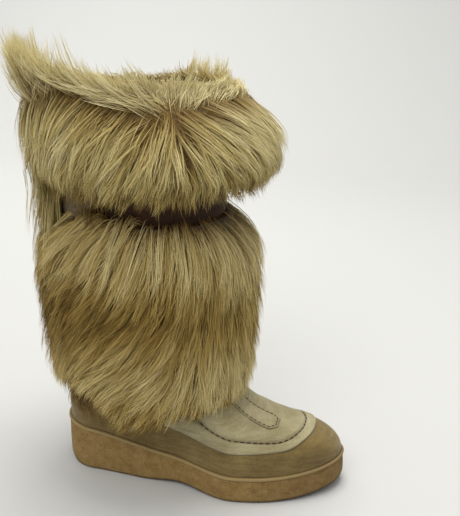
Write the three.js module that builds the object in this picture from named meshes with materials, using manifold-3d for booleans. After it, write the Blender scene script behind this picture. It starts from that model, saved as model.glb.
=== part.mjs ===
// A fur mukluk boot for the right foot: a wedge sole, a suede foot with a moccasin apron,
// and a tall shaft dressed in two fur sleeves with a bare band between them.
// Millimetres, +Z up, toe towards +X, outer side of the foot towards -Y.
import * as THREE from "three";
import { ParametricGeometry } from "three/addons/geometries/ParametricGeometry.js";
import { mergeVertices } from "three/addons/utils/BufferGeometryUtils.js";
import Module from "manifold-3d";

const wasm = await Module();
wasm.setup();

// Sole
const SOLE_LENGTH = 275;
const HEEL_HALF_WIDTH = 36;
const WAIST = { lateral: 40, medial: 32, lateralAt: 0.42, medialAt: 0.45 };
const BALL = { lateral: 52.5, medial: 45.5, lateralAt: 0.66, medialAt: 0.72 };
const TOE_ROUND_LENGTH = 110;
const TOE_SWING = 7.4;
const TOE_SWING_FROM = 0.6;
const HEEL_THICK = 48;
const FOREFOOT_THICK = 27;
const WEDGE_ENDS_AT = 0.66;
const TOE_TOP_RISE = 8;
const TOE_TOP_FROM = 0.72;
const ARCH = { rise: 4, from: 0.3, to: 0.6 };
const TOE_SPRING = { rise: 10, from: 0.74 };
const HEEL_ROLL = { rise: 8, length: 20 };
const SOLE_STATIONS = 30;
// The sole's side from the tread up: distance inside the edge, share of the thickness, rise on top of it
const SOLE_SIDE = [
  { inset: 3, share: 0, rise: 0 },
  { inset: 0.8, share: 0, rise: 1.2 },
  { inset: 0.2, share: 0, rise: 4 },
  { inset: 1, share: 1, rise: -5 },
  { inset: 0, share: 1, rise: -4 },
  { inset: 0, share: 1, rise: -1 },
  { inset: 1, share: 1, rise: 0 },
];

// Foot of the upper
const SEAT_GAP = 0.3;
const LEDGE = 2.6;
const WALL = 2.2;
const ARCH_FULLNESS = 3;
const FOOT_STATIONS = 24;
const ARCH_POINTS = 14;
const TOE_BOX_LENGTH = 44;
const TOE_BOX_FULLNESS = 2.2;
// Top line of the foot, a row for each section from the heel forward
const CROWN = [
  { x: 0, z: 74 },
  { x: 15, z: 90 },
  { x: 35, z: 110 },
  { x: 65, z: 128 },
  { x: 105, z: 133 },
  { x: 135, z: 120 },
  { x: 155, z: 102 },
  { x: 170, z: 87 },
  { x: 185, z: 73 },
  { x: 200, z: 65 },
  { x: 215, z: 61.5 },
  { x: 235, z: 60 },
  { x: 255, z: 58.5 },
  { x: 275, z: 57 },
];

// Leg of the upper
const COLLAR_HEIGHT = 368;
const RING_POINTS = 30;
// Rings of the leg: height, middle, half front to back, half side to side
const LEG = [
  { z: 88, middle: 72, depth: 42, width: 33 },
  { z: 112, middle: 85, depth: 58, width: 46 },
  { z: 135, middle: 90, depth: 62, width: 50 },
  { z: 190, middle: 91, depth: 64, width: 53 },
  { z: 256, middle: 91, depth: 67, width: 56 },
  { z: 310, middle: 91, depth: 69, width: 58 },
  { z: COLLAR_HEIGHT, middle: 91, depth: 70, width: 59 },
];

// Insole
const INSOLE_THICK = 4;
const INSOLE_CLEAR = 2.2;

// Apron, its raised plug, and the strip down its middle
const LAY_GAP = 0.3;
const APRON_THICK = 1.5;
const PLUG_THICK = 2.5;
const STRIP_THICK = 1.2;
const APRON_BACK = 112;
// Where the apron and its plug start: inside the sole's edge, behind the toe, and above the sole at the back
// and at the front, which the edge reaches at a share of the apron's length
const APRON_EDGE = { inset: 1.5, toeInset: 27.5, back: 28, front: 22.5, settles: 0.5 };
const PLUG_EDGE = { inset: 6, toeInset: 38, back: 47, front: 29.5, settles: 0.68 };
const APRON_FULLNESS = 2.3;
const OUTLINE_POINTS = 14;
const STRIP = { back: 150, shoulder: 208, tip: 215, half: 12.5, tipHalf: 7, y: -8.5 };

// Bare band of the leg between the fur sleeves
const BAND = { bottom: 264, top: 293, thick: 1.5 };

// Fur sleeves
const FUR_GAP = 0.4;
const FUR_LOCKS = 30;
const SHAFT_HEM = { mean: 98, front: 11, notch: 16, notchAt: 2.2, notchWidth: 0.3 };
const SHAFT_SLANT = { middle: 0, amount: 0.22 };
const CUFF_WHORL = { middle: -1.03, amount: 0.3 };
// Rings of the lower sleeve without its locks
const SHAFT_FUR = [
  { z: 45, middle: 89, depth: 78, width: 52 },
  { z: 80, middle: 89, depth: 87, width: 68 },
  { z: 110, middle: 89, depth: 92, width: 77 },
  { z: 150, middle: 89, depth: 96, width: 82 },
  { z: 200, middle: 89, depth: 98, width: 84 },
  { z: 235, middle: 89, depth: 97, width: 83 },
  { z: 252, middle: 89, depth: 91, width: 78 },
  { z: BAND.bottom - FUR_GAP, middle: 90, depth: 83, width: 71 },
];
// Rings of the cuff without its locks
const CUFF_FUR = [
  { z: 262, middle: 96, depth: 90, width: 78 },
  { z: BAND.top + FUR_GAP, middle: 97, depth: 96, width: 82 },
  { z: 305, middle: 98, depth: 104, width: 89 },
  { z: 325, middle: 97, depth: 106, width: 92 },
  { z: 345, middle: 92, depth: 104, width: 89 },
  { z: 362, middle: 86, depth: 100, width: 82 },
  { z: 376, middle: 81, depth: 95, width: 74 },
];
// Tiers of overlapping locks: where a tier starts and ends, how far its tips stand off and hang down
const SHAFT_TIERS = [
  { from: 254, to: 220, stand: 6, hang: 10 },
  { from: 221, to: 182, stand: 7, hang: 10 },
  { from: 183, to: 143, stand: 7, hang: 10 },
  { from: 144, to: 0, stand: 5, hang: 20 },
];
const CUFF_TIERS = [
  { from: 364, to: 332, stand: 6, hang: 8 },
  { from: 333, to: 300, stand: 6, hang: 9 },
];
// Crown of the cuff: mean height, how much more on the side it faces, the same for its tips, and its lean
const CUFF_CROWN = { valley: 368, valleyMore: 5, tips: 9, tipsMore: 5, faces: -1.3, inward: 10 };
const HEM_TUCK = 16;
// Steps of one tier of locks: share of its height, stand-off of a lock's middle and of the valley beside it
const TIER_STEPS = [
  { down: 0, ridge: 0, valley: -0.2 },
  { down: 0.55, ridge: 0.75, valley: 0.1 },
  { down: 1, ridge: 1, valley: -0.2 },
];
// Shape of a single lock from its root to near its tip: share of length, of width, of lift
const LOCK_ROOT_DEPTH = 10;
const LOCK_SHAPE = [
  { along: 0, broad: 0.6, lift: 0 },
  { along: 0.4, broad: 1, lift: 0.75 },
  { along: 0.75, broad: 0.62, lift: 0.95 },
];
// Single locks: angle, root height, lean from straight down, length, width, thickness, stand-off
const SHAFT_WISPS = [
  { angle: -1.62, z: 118, lean: -0.35, length: 62, width: 22, thick: 9, stand: -2 },
  { angle: -1.86, z: 112, lean: -0.45, length: 56, width: 20, thick: 9, stand: -2 },
  { angle: -1.3, z: 116, lean: -0.2, length: 46, width: 20, thick: 9, stand: -2 },
  { angle: 1.5, z: 116, lean: 0.3, length: 52, width: 22, thick: 9, stand: -2 },
  { angle: -0.45, z: 122, lean: 0, length: 44, width: 18, thick: 8, stand: 2 },
  { angle: 0.3, z: 122, lean: 0, length: 44, width: 18, thick: 8, stand: 2 },
];
const CUFF_WISPS = [
  { angle: -1.95, z: 358, lean: 4.0, length: 72, width: 26, thick: 10, stand: 6 },
  { angle: -2.2, z: 354, lean: 3.85, length: 78, width: 26, thick: 10, stand: 8 },
  { angle: -2.5, z: 352, lean: 3.65, length: 66, width: 24, thick: 10, stand: 7 },
  { angle: -2.98, z: 352, lean: 3.3, length: 48, width: 22, thick: 10, stand: 5 },
  { angle: 2.8, z: 354, lean: 3.0, length: 38, width: 20, thick: 10, stand: 0 },
  { angle: 1.24, z: 354, lean: 3.2, length: 34, width: 26, thick: 12, stand: -2 },
  { angle: -2.2, z: 340, lean: -0.6, length: 50, width: 22, thick: 9, stand: 8 },
  { angle: -0.2, z: 338, lean: 0.3, length: 42, width: 22, thick: 9, stand: 8 },
  { angle: -2.85, z: 322, lean: -0.1, length: 52, width: 26, thick: 9, stand: 4 },
];

function mix(a, b, t) {
  return a + (b - a) * t;
}

function ease(t) {
  const c = Math.min(Math.max(t, 0), 1);
  return c * c * (3 - 2 * c);
}

// Smooth value of one column of a table between its rows
function column(table, key, at, name) {
  const last = table.length - 1;
  let i = 0;
  while (i < last - 1 && table[i + 1][key] < at) i += 1;
  const slope = (k) => {
    const a = table[Math.max(k - 1, 0)];
    const b = table[Math.min(k + 1, last)];
    return (b[name] - a[name]) / (b[key] - a[key]);
  };
  const from = table[i];
  const to = table[i + 1];
  const span = to[key] - from[key];
  const t = (at - from[key]) / span;
  if (t <= 0 || t >= 1) return t <= 0 ? from[name] : to[name];
  const bend = (1 - t) * slope(i) * span * t * (1 - t) - t * slope(i + 1) * span * t * (1 - t);
  return from[name] * (1 + 2 * t) * (1 - t) ** 2 + to[name] * (3 - 2 * t) * t ** 2 + bend;
}

// A closed solid from a geometry, facing outwards
function toSolid(geometry) {
  const bare = new THREE.BufferGeometry();
  bare.setAttribute("position", geometry.getAttribute("position"));
  bare.setIndex(geometry.getIndex());
  const merged = mergeVertices(bare, 1e-3);
  const corners = Array.from(merged.index.array);
  const faces = [];
  for (let i = 0; i < corners.length; i += 3) {
    const [a, b, c] = corners.slice(i, i + 3);
    if (a !== b && b !== c && c !== a) faces.push(a, b, c);
  }
  const vertProperties = merged.attributes.position.array;
  const make = (list) =>
    new wasm.Manifold(new wasm.Mesh({ numProp: 3, vertProperties, triVerts: new Uint32Array(list) }));
  const solid = make(faces);
  return solid.volume() > 0 ? solid : make(faces.reverse());
}

// A solid skinned over rows of points; every row closes on itself and the end rows have no area
function skin(rows) {
  const count = rows[0].length;
  const place = (u, v, target) => {
    const row = rows[Math.round(v * (rows.length - 1))];
    target.copy(row[Math.round(u * count) % count]);
  };
  return toSolid(new ParametricGeometry(place, count, rows.length - 1));
}

// Half widths of the sole's outline at a distance x from the back of the heel
function outline(x, inset, toeInset = inset, fullness = 2) {
  const along = x / SOLE_LENGTH;
  const heelEnd = HEEL_HALF_WIDTH / SOLE_LENGTH;
  const side = (waist, waistAt, ball, ballAt) =>
    HEEL_HALF_WIDTH +
    (waist - HEEL_HALF_WIDTH) * ease((along - heelEnd) / (waistAt - heelEnd)) +
    (ball - waist) * ease((along - waistAt) / (ballAt - waistAt)) -
    inset;
  const heel = Math.max(HEEL_HALF_WIDTH - x, 0) / (HEEL_HALF_WIDTH - inset);
  const toe = Math.max(x - (SOLE_LENGTH - TOE_ROUND_LENGTH), 0) / (TOE_ROUND_LENGTH - toeInset);
  const end = Math.sqrt(Math.max(1 - heel * heel, 0)) * Math.max(1 - toe ** fullness, 0) ** (1 / fullness);
  const swing = TOE_SWING * ease((along - TOE_SWING_FROM) / (1 - TOE_SWING_FROM));
  const lateral = swing - end * side(WAIST.lateral, WAIST.lateralAt, BALL.lateral, BALL.lateralAt);
  const medial = swing + end * side(WAIST.medial, WAIST.medialAt, BALL.medial, BALL.medialAt);
  return { lateral, medial, middle: (lateral + medial) / 2, half: (medial - lateral) / 2 };
}

function stationX(k, count, inset) {
  return inset + ((SOLE_LENGTH - 2 * inset) * (1 - Math.cos((Math.PI * k) / count))) / 2;
}

function soleTop(x) {
  const along = x / SOLE_LENGTH;
  const toe = Math.max(along - TOE_TOP_FROM, 0) / (1 - TOE_TOP_FROM);
  return mix(HEEL_THICK, FOREFOOT_THICK, ease(along / WEDGE_ENDS_AT)) + TOE_TOP_RISE * toe * toe;
}

function soleBottom(x) {
  const along = x / SOLE_LENGTH;
  const arch = Math.min(Math.max((along - ARCH.from) / (ARCH.to - ARCH.from), 0), 1);
  const toe = Math.max(along - TOE_SPRING.from, 0) / (1 - TOE_SPRING.from);
  const roll = Math.max(HEEL_ROLL.length - x, 0) / HEEL_ROLL.length;
  const ends = TOE_SPRING.rise * toe * toe + HEEL_ROLL.rise * roll * roll;
  return ARCH.rise * Math.sin(Math.PI * arch) ** 2 + ends;
}

// One level of a sole-shaped layer as a closed row; flat collapses it onto its own middle line
function soleRow(inset, level, flat) {
  const row = [];
  for (let k = 0; k < 2 * SOLE_STATIONS; k += 1) {
    const lateral = k <= SOLE_STATIONS;
    const x = stationX(lateral ? k : 2 * SOLE_STATIONS - k, SOLE_STATIONS, inset);
    const edge = outline(x, inset);
    const end = k === 0 || k === SOLE_STATIONS;
    const y = flat || end ? edge.middle : lateral ? edge.lateral : edge.medial;
    row.push(new THREE.Vector3(x, y, level(x)));
  }
  return row;
}

function makeSole() {
  const level = (layer) => (x) => soleBottom(x) + layer.share * (soleTop(x) - soleBottom(x)) + layer.rise;
  const first = SOLE_SIDE[0];
  const last = SOLE_SIDE[SOLE_SIDE.length - 1];
  const rows = SOLE_SIDE.map((layer) => soleRow(layer.inset, level(layer), false));
  rows.unshift(soleRow(first.inset, level(first), true));
  rows.push(soleRow(last.inset, level(last), true));
  return skin(rows);
}

function makeInsole() {
  const inset = LEDGE + WALL + INSOLE_CLEAR;
  const low = (x) => soleTop(x) + SEAT_GAP;
  const high = (x) => low(x) + INSOLE_THICK;
  return skin([
    soleRow(inset, low, true),
    soleRow(inset, low, false),
    soleRow(inset, high, false),
    soleRow(inset, high, true),
  ]);
}

// The foot as one closed form grown by an offset, its underside let down by a drop
function footForm(offset, drop) {
  const inset = LEDGE - offset;
  const toeEnd = SOLE_LENGTH - inset;
  const toeFrom = SOLE_LENGTH - TOE_BOX_LENGTH;
  const rows = [];
  for (let k = 0; k <= FOOT_STATIONS; k += 1) {
    const x = stationX(k, FOOT_STATIONS, inset);
    const edge = outline(x, inset);
    const half = k === 0 || k === FOOT_STATIONS ? 0 : edge.half;
    const base = soleTop(x) + SEAT_GAP;
    const toe = Math.max(x - toeFrom, 0) / (toeEnd - toeFrom);
    const round = k === FOOT_STATIONS ? 0 : (1 - toe ** TOE_BOX_FULLNESS) ** (1 / TOE_BOX_FULLNESS);
    const height = (column(CROWN, "x", x, "z") + offset - base) * round;
    const row = [new THREE.Vector3(x, edge.middle - half, base - drop)];
    for (let i = 0; i <= ARCH_POINTS; i += 1) {
      const turn = (Math.PI * i) / ARCH_POINTS;
      const across = Math.sign(Math.cos(turn)) * Math.abs(Math.cos(turn)) ** (2 / ARCH_FULLNESS);
      const up = Math.abs(Math.sin(turn)) ** (2 / ARCH_FULLNESS);
      const level = i === ARCH_POINTS ? base : base + height * up;
      row.push(new THREE.Vector3(x, edge.middle - half * across, level));
    }
    row.push(new THREE.Vector3(x, edge.middle + half, base - drop));
    rows.push(row);
  }
  return skin(rows);
}

// Point of an oval ring; angle 0 is the front, positive towards the inner side of the foot
function ringPoint(table, angle, z, out) {
  const x = column(table, "z", z, "middle") + (column(table, "z", z, "depth") + out) * Math.cos(angle);
  const y = (column(table, "z", z, "width") + out) * Math.sin(angle);
  return new THREE.Vector3(x, y, z);
}

function ring(table, points, level, out) {
  const row = [];
  for (let i = 0; i < points; i += 1) {
    const angle = (2 * Math.PI * i) / points;
    row.push(ringPoint(table, angle, level(angle), out));
  }
  return row;
}

// A row drawn together on its own middle, which closes an end
function drawnIn(row) {
  const middle = new THREE.Vector3();
  row.forEach((point) => middle.addScaledVector(point, 1 / row.length));
  return row.map(() => middle);
}

function closedRings(rows) {
  return skin([drawnIn(rows[0]), ...rows, drawnIn(rows[rows.length - 1])]);
}

// The leg as one closed form grown by an offset, between two heights
function legForm(offset, bottom, top) {
  const between = LEG.map((row) => row.z).filter((z) => z > bottom && z < top);
  const levels = [bottom, ...between, top];
  return closedRings(levels.map((z) => ring(LEG, RING_POINTS, () => z, offset)));
}

const LEG_FOOT = LEG[0].z;

function makeUpper() {
  const outside = footForm(0, 0).add(legForm(0, LEG_FOOT, COLLAR_HEIGHT));
  const inside = footForm(-WALL, HEEL_THICK).add(legForm(-WALL, LEG_FOOT, COLLAR_HEIGHT + WALL));
  return outside.subtract(inside);
}

// A tall prism over a flat shape
function prism(shape) {
  return toSolid(new THREE.ExtrudeGeometry(shape, { depth: COLLAR_HEIGHT, bevelEnabled: false }));
}

// A prism over a U-shaped plan that runs inside the sole's outline
function toePrism(edge) {
  const toeEnd = SOLE_LENGTH - edge.toeInset;
  const corner = (k, side) => {
    const x = mix(APRON_BACK, toeEnd, Math.sin((Math.PI * k) / (2 * OUTLINE_POINTS)));
    return new THREE.Vector2(x, outline(x, edge.inset, edge.toeInset, APRON_FULLNESS)[side]);
  };
  const points = [];
  for (let k = 0; k <= OUTLINE_POINTS; k += 1) points.push(corner(k, "lateral"));
  for (let k = OUTLINE_POINTS - 1; k >= 0; k -= 1) points.push(corner(k, "medial"));
  return prism(new THREE.Shape(points));
}

// Everything that stands higher above the sole than an edge's own line
function aboveSole(edge) {
  const rows = [];
  for (let k = 0; k <= FOOT_STATIONS; k += 1) {
    const along = k / FOOT_STATIONS;
    const x = mix(APRON_BACK, SOLE_LENGTH, along);
    const z = soleTop(x) + mix(edge.back, edge.front, ease(along / edge.settles));
    const corners = [
      [-BALL.lateral, z],
      [BALL.lateral, z],
      [BALL.lateral, COLLAR_HEIGHT],
      [-BALL.lateral, COLLAR_HEIGHT],
    ];
    rows.push(corners.map(([y, level]) => new THREE.Vector3(x, y, level)));
  }
  return closedRings(rows);
}

// The layer of the foot's own form between two offsets
function footLayer(from, to) {
  return footForm(to, 0).subtract(footForm(from, WALL));
}

function makeApron() {
  const within = (thick, edge) =>
    footLayer(LAY_GAP, LAY_GAP + thick).intersect(toePrism(edge)).intersect(aboveSole(edge));
  const whole = within(APRON_THICK, APRON_EDGE).add(within(PLUG_THICK, PLUG_EDGE));
  return mainBody(whole.subtract(legForm(LAY_GAP + PLUG_THICK, LEG_FOOT, COLLAR_HEIGHT)));
}

function makeStrip() {
  const low = 2 * LAY_GAP + PLUG_THICK;
  const corners = [
    [STRIP.back, -STRIP.half],
    [STRIP.shoulder, -STRIP.half],
    [STRIP.tip, -STRIP.tipHalf],
    [STRIP.tip, STRIP.tipHalf],
    [STRIP.shoulder, STRIP.half],
    [STRIP.back, STRIP.half],
  ];
  const plan = new THREE.Shape(corners.map(([x, y]) => new THREE.Vector2(x, STRIP.y + y)));
  const strip = footLayer(low, low + STRIP_THICK).intersect(prism(plan));
  return strip.subtract(legForm(low, LEG_FOOT, COLLAR_HEIGHT));
}

function makeBand() {
  const outside = legForm(LAY_GAP + BAND.thick, BAND.bottom, BAND.top);
  return outside.subtract(legForm(LAY_GAP, BAND.bottom - 1, BAND.top + 1));
}

// Steady variety for the locks, between 0 and 1
function vary(seed) {
  const wave = Math.sin(seed * 12.9898) * 43758.5453;
  return wave - Math.floor(wave);
}

// One lock on a sleeve: it starts below the surface and its tip stands off it
function lock(table, root) {
  const at = (along, lift) => {
    const z = root.z - root.length * along * Math.cos(root.lean);
    const swing = (root.length * along * Math.sin(root.lean)) / column(table, "z", root.z, "width");
    return ringPoint(table, root.angle + swing, z, mix(-LOCK_ROOT_DEPTH, root.stand, lift));
  };
  const out = new THREE.Vector3(Math.cos(root.angle), Math.sin(root.angle), 0);
  const rows = LOCK_SHAPE.map((step) => {
    const middle = at(step.along, step.lift);
    const ahead = at(step.along + 0.05, step.lift).sub(middle).normalize();
    const side = new THREE.Vector3().crossVectors(ahead, out).normalize();
    const half = (root.width * step.broad) / 2;
    const thick = root.thick * step.broad;
    return [
      middle.clone().addScaledVector(side, half).addScaledVector(out, -thick / 2),
      middle.clone().addScaledVector(side, -half).addScaledVector(out, -thick / 2),
      middle.clone().addScaledVector(out, thick / 2),
    ];
  });
  const tip = at(1, 1);
  return skin([drawnIn(rows[0]), ...rows, rows[0].map(() => tip)]);
}

// One row round a sleeve, in which every other point is the middle of a lock
function furRow(table, slant, top, place) {
  const row = [];
  for (let i = 0; i < 2 * FUR_LOCKS; i += 1) {
    const start = (Math.PI * (i + 0.3 * vary(i + 0.5))) / FUR_LOCKS;
    const spot = place(i % 2 === 0, start, vary(i + 0.25));
    const fall = (top - spot.z) / column(table, "z", top, "width");
    const turn = slant.amount * Math.sin(start - slant.middle) * fall;
    row.push(ringPoint(table, start + turn, spot.z, spot.out));
  }
  return row;
}

// Rows of a sleeve's tiers from the top down
function tierRows(table, tiers, slant, endAt) {
  const top = tiers[0].from;
  return tiers.flatMap((tier, t) =>
    TIER_STEPS.map((step) =>
      furRow(table, slant, top, (ridge, angle, luck) => {
        const end = t === tiers.length - 1 ? endAt(angle) : tier.to;
        const hang = step.down === 1 ? tier.hang * (ridge ? 0.5 + luck : -0.3) : 0;
        const out = tier.stand * (ridge ? step.ridge : step.valley);
        return { z: mix(tier.from, end, step.down) - hang, out };
      }),
    ),
  );
}

// The largest body of a solid, without crumbs cut off it
function mainBody(solid) {
  return solid.decompose().reduce((most, body) => (body.volume() > most.volume() ? body : most));
}

function joined(solids) {
  return solids.reduce((all, one) => all.add(one));
}

// Clear of everything that lies on the foot
const FOOT_CLEAR = 3 * LAY_GAP + PLUG_THICK + STRIP_THICK;

function cutFree(fur) {
  const leg = legForm(FUR_GAP, LEG_FOOT, COLLAR_HEIGHT + HEEL_THICK);
  return mainBody(fur.subtract(leg.add(footForm(FOOT_CLEAR, HEEL_THICK))));
}

function makeShaftFur() {
  const top = SHAFT_FUR[SHAFT_FUR.length - 1].z;
  const hem = (angle) => {
    const fromNotch = (Math.acos(Math.cos(angle)) - SHAFT_HEM.notchAt) / SHAFT_HEM.notchWidth;
    const notch = SHAFT_HEM.notch * Math.exp(-fromNotch * fromNotch);
    return SHAFT_HEM.mean + SHAFT_HEM.front * Math.cos(angle) + notch;
  };
  const rows = [
    furRow(SHAFT_FUR, SHAFT_SLANT, top, () => ({ z: top, out: 0 })),
    ...tierRows(SHAFT_FUR, SHAFT_TIERS, SHAFT_SLANT, hem),
    furRow(SHAFT_FUR, SHAFT_SLANT, top, (ridge, angle) => ({ z: hem(angle), out: -HEM_TUCK })),
  ];
  const wisps = SHAFT_WISPS.map((root) => lock(SHAFT_FUR, root));
  return cutFree(joined([closedRings(rows), ...wisps]));
}

function makeCuffFur() {
  const bottom = BAND.top + FUR_GAP;
  const top = CUFF_FUR[CUFF_FUR.length - 1].z;
  const valley = (angle) => CUFF_CROWN.valley + CUFF_CROWN.valleyMore * Math.cos(angle - CUFF_CROWN.faces);
  const crown = (ridge, angle, luck) => {
    const tip = CUFF_CROWN.tips + CUFF_CROWN.tipsMore * Math.cos(angle - CUFF_CROWN.faces);
    const lean = ridge ? CUFF_CROWN.inward / 2 : 0;
    return { z: valley(angle) + (ridge ? tip * (0.3 + 0.7 * luck) : 0), out: -lean };
  };
  const inner = (ridge, angle) => ({ z: valley(angle), out: -CUFF_CROWN.inward });
  const rows = [
    furRow(CUFF_FUR, CUFF_WHORL, top, inner),
    furRow(CUFF_FUR, CUFF_WHORL, top, crown),
    ...tierRows(CUFF_FUR, CUFF_TIERS, CUFF_WHORL, () => CUFF_TIERS[1].to),
    furRow(CUFF_FUR, CUFF_WHORL, top, () => ({ z: bottom, out: -HEM_TUCK / 2 })),
  ];
  const wisps = CUFF_WISPS.map((root) => lock(CUFF_FUR, root));
  return cutFree(joined([closedRings(rows), ...wisps]));
}

// Pieces of the boot with their own materials
const PIECES = [
  { name: "sole", solid: makeSole(), colour: 0x8a6c40, roughness: 0.85 },
  { name: "insole", solid: makeInsole(), colour: 0xb9a888, roughness: 0.95 },
  { name: "upper", solid: makeUpper(), colour: 0x6f5f39, roughness: 0.9 },
  { name: "apron", solid: makeApron(), colour: 0xa09672, roughness: 0.9 },
  { name: "centre_strip", solid: makeStrip(), colour: 0xa49a77, roughness: 0.9 },
  { name: "calf_band", solid: makeBand(), colour: 0x3f2c1c, roughness: 0.8 },
  { name: "shaft_fur", solid: makeShaftFur(), colour: 0x85703f, roughness: 0.95 },
  { name: "cuff_fur", solid: makeCuffFur(), colour: 0xa5935f, roughness: 0.95 },
];

function toMesh(piece) {
  const made = piece.solid.getMesh();
  const geometry = new THREE.BufferGeometry();
  geometry.setAttribute("position", new THREE.BufferAttribute(made.vertProperties, 3));
  geometry.setIndex(new THREE.BufferAttribute(made.triVerts, 1));
  geometry.computeVertexNormals();
  const material = new THREE.MeshStandardMaterial({
    color: piece.colour,
    roughness: piece.roughness,
    metalness: 0,
  });
  const mesh = new THREE.Mesh(geometry, material);
  mesh.name = piece.name;
  return mesh;
}

// The frame's origin is the bottom centre of the whole boot's box
const boot = new THREE.Group();
PIECES.forEach((piece) => boot.add(toMesh(piece)));
const middle = new THREE.Box3().setFromObject(boot, true).getCenter(new THREE.Vector3());
boot.children.forEach((mesh) => mesh.geometry.translate(-middle.x, -middle.y, 0));

export default boot;
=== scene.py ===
# Mukluk boot for the right foot: suede foot, crepe wedge sole, two fur sleeves and a bare leather band
import math

import bmesh
import bpy
import numpy as np
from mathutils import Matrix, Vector


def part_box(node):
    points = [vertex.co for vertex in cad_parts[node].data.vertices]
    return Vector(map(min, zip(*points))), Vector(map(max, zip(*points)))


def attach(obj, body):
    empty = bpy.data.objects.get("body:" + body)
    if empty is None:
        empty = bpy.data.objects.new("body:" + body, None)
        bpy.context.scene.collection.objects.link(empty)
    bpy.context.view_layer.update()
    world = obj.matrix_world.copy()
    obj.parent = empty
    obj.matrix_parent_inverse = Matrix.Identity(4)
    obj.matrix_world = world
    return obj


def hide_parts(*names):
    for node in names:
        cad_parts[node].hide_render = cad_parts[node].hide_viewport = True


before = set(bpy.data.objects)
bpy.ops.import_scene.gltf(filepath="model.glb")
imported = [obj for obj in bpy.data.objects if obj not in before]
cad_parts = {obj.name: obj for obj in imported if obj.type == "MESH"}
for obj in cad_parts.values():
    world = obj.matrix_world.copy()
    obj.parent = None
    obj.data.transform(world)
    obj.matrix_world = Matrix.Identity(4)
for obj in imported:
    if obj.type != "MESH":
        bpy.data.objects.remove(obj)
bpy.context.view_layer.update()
random = np.random.default_rng(368)

# The last, in millimetres from the back of the heel: x to the toe, -y to the outer side, z up
SOLE_LENGTH = 275.0
HEEL_HALF_WIDTH = 36.0
WAIST = {"lateral": 40.0, "medial": 32.0, "lateral_at": 0.42, "medial_at": 0.45}
BALL = {"lateral": 52.5, "medial": 45.5, "lateral_at": 0.66, "medial_at": 0.72}
TOE_ROUND_LENGTH = 110.0
TOE_SWING = 7.4
TOE_SWING_FROM = 0.6
HEEL_THICK = 48.0
FOREFOOT_THICK = 27.0
WEDGE_ENDS_AT = 0.66
TOE_TOP_RISE = 8.0
TOE_TOP_FROM = 0.72
ARCH = {"rise": 4.0, "from": 0.3, "to": 0.6}
TOE_SPRING = {"rise": 10.0, "from": 0.74}
HEEL_ROLL = {"rise": 8.0, "length": 20.0}

# Side of the sole from foot to lip: inset, share of the height, rise, paleness of the rubber, and painted
# shade: contact shadow at its foot, shade in the groove under the lip and where the upper sits
SOLE_SIDE = (
    (9.0, 0.0, 0.0, 0.0, 0.7),
    (3.2, 0.0, 0.0, 0.0, 0.8),
    (1.7, 0.0, 0.3, 0.0, 0.8),
    (0.8, 0.0, 1.1, 0.0, 0.7),
    (0.35, 0.0, 2.4, 0.1, 0.3),
    (0.2, 0.0, 4.0, 0.1, 0.0),
    (0.25, 0.25, 2.0, 0.0, 0.0),
    (0.4, 0.5, 0.0, 0.0, 0.0),
    (0.7, 0.75, -2.0, 0.0, 0.0),
    (1.0, 1.0, -4.2, 0.0, 0.0),
    (1.6, 1.0, -3.7, 0.1, 0.25),
    (1.1, 1.0, -3.3, 0.5, 0.0),
    (0.3, 1.0, -2.9, 1.0, 0.0),
    (0.0, 1.0, -2.2, 1.0, 0.0),
    (0.0, 1.0, -1.2, 1.0, 0.0),
    (0.5, 1.0, -0.4, 1.0, 0.0),
    (1.3, 1.0, 0.0, 0.7, 0.1),
    (3.0, 1.0, 0.0, 0.1, 0.6),
)
# Painted shade that grows towards the toe, whose side faces away from the light: where it begins, over what
# length, and its share
TOE_SHADE = {"from": 150.0, "length": 125.0, "share": 0.34}

# The foot of the upper
SEAT_GAP = 0.3
LEDGE = 2.6
WALL = 2.2
ARCH_FULLNESS = 3.0
TOE_BOX_LENGTH = 44.0
TOE_BOX_FULLNESS = 2.2
SKIRT = 3.0
CROWN = (
    (0, 74), (15, 90), (35, 110), (65, 128), (105, 133), (135, 120), (155, 102), (170, 87),
    (185, 73), (200, 65), (215, 61.5), (235, 60), (255, 58.5), (275, 57),
)

# The leg, its furs and its band: level, middle, half depth, half width
COLLAR_HEIGHT = 368.0
LEG_FOOT = {"outside": 88.0, "inside": 93.0}
LEG = (
    (88, 72, 42, 33), (112, 85, 58, 46), (135, 90, 62, 50), (190, 91, 64, 53),
    (256, 91, 67, 56), (310, 91, 69, 58), (368, 91, 70, 59),
)
SHAFT_FUR = (
    (45, 89, 78, 52), (80, 89, 87, 68), (110, 89, 92, 77), (150, 89, 96, 82),
    (200, 89, 98, 84), (235, 89, 97, 83), (252, 89, 91, 78), (263.6, 90, 83, 71),
)
CUFF_FUR = (
    (262, 96, 90, 78), (293.4, 97, 96, 82), (305, 98, 104, 89), (325, 97, 106, 92),
    (345, 92, 104, 89), (362, 86, 100, 82), (376, 81, 95, 74),
)
LEG_MIDDLE = 91.0
BAND = {"bottom": 264.0, "top": 293.0}
# Side of the band, round and back to its start: share of the height and distance from the leg
BAND_SIDE = (
    (0.0, 0.45), (0.0, 1.2), (0.02, 1.6), (0.06, 1.75), (0.12, 1.6), (0.5, 1.5), (0.88, 1.6), (0.94, 1.75),
    (0.98, 1.6), (1.0, 1.2), (1.0, 0.45), (0.5, 0.45), (0.0, 0.45),
)

# The fleece inside the leg: its levels, and how far its back, rolled edge and face lie inside the wall
FLEECE = {"low": 150.0, "high": 366.0, "edge": 367.3, "back_in": 0.4, "edge_in": 1.6, "face_in": 3.2}

# The insole, with its side from foot to top: inset and rise
INSOLE_INSET = 7.0
INSOLE_SIDE = ((0.9, 0.0), (0.2, 0.3), (0.0, 1.0), (0.0, 2.8), (0.4, 3.6), (1.2, 4.0), (4.0, 4.0))

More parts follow.
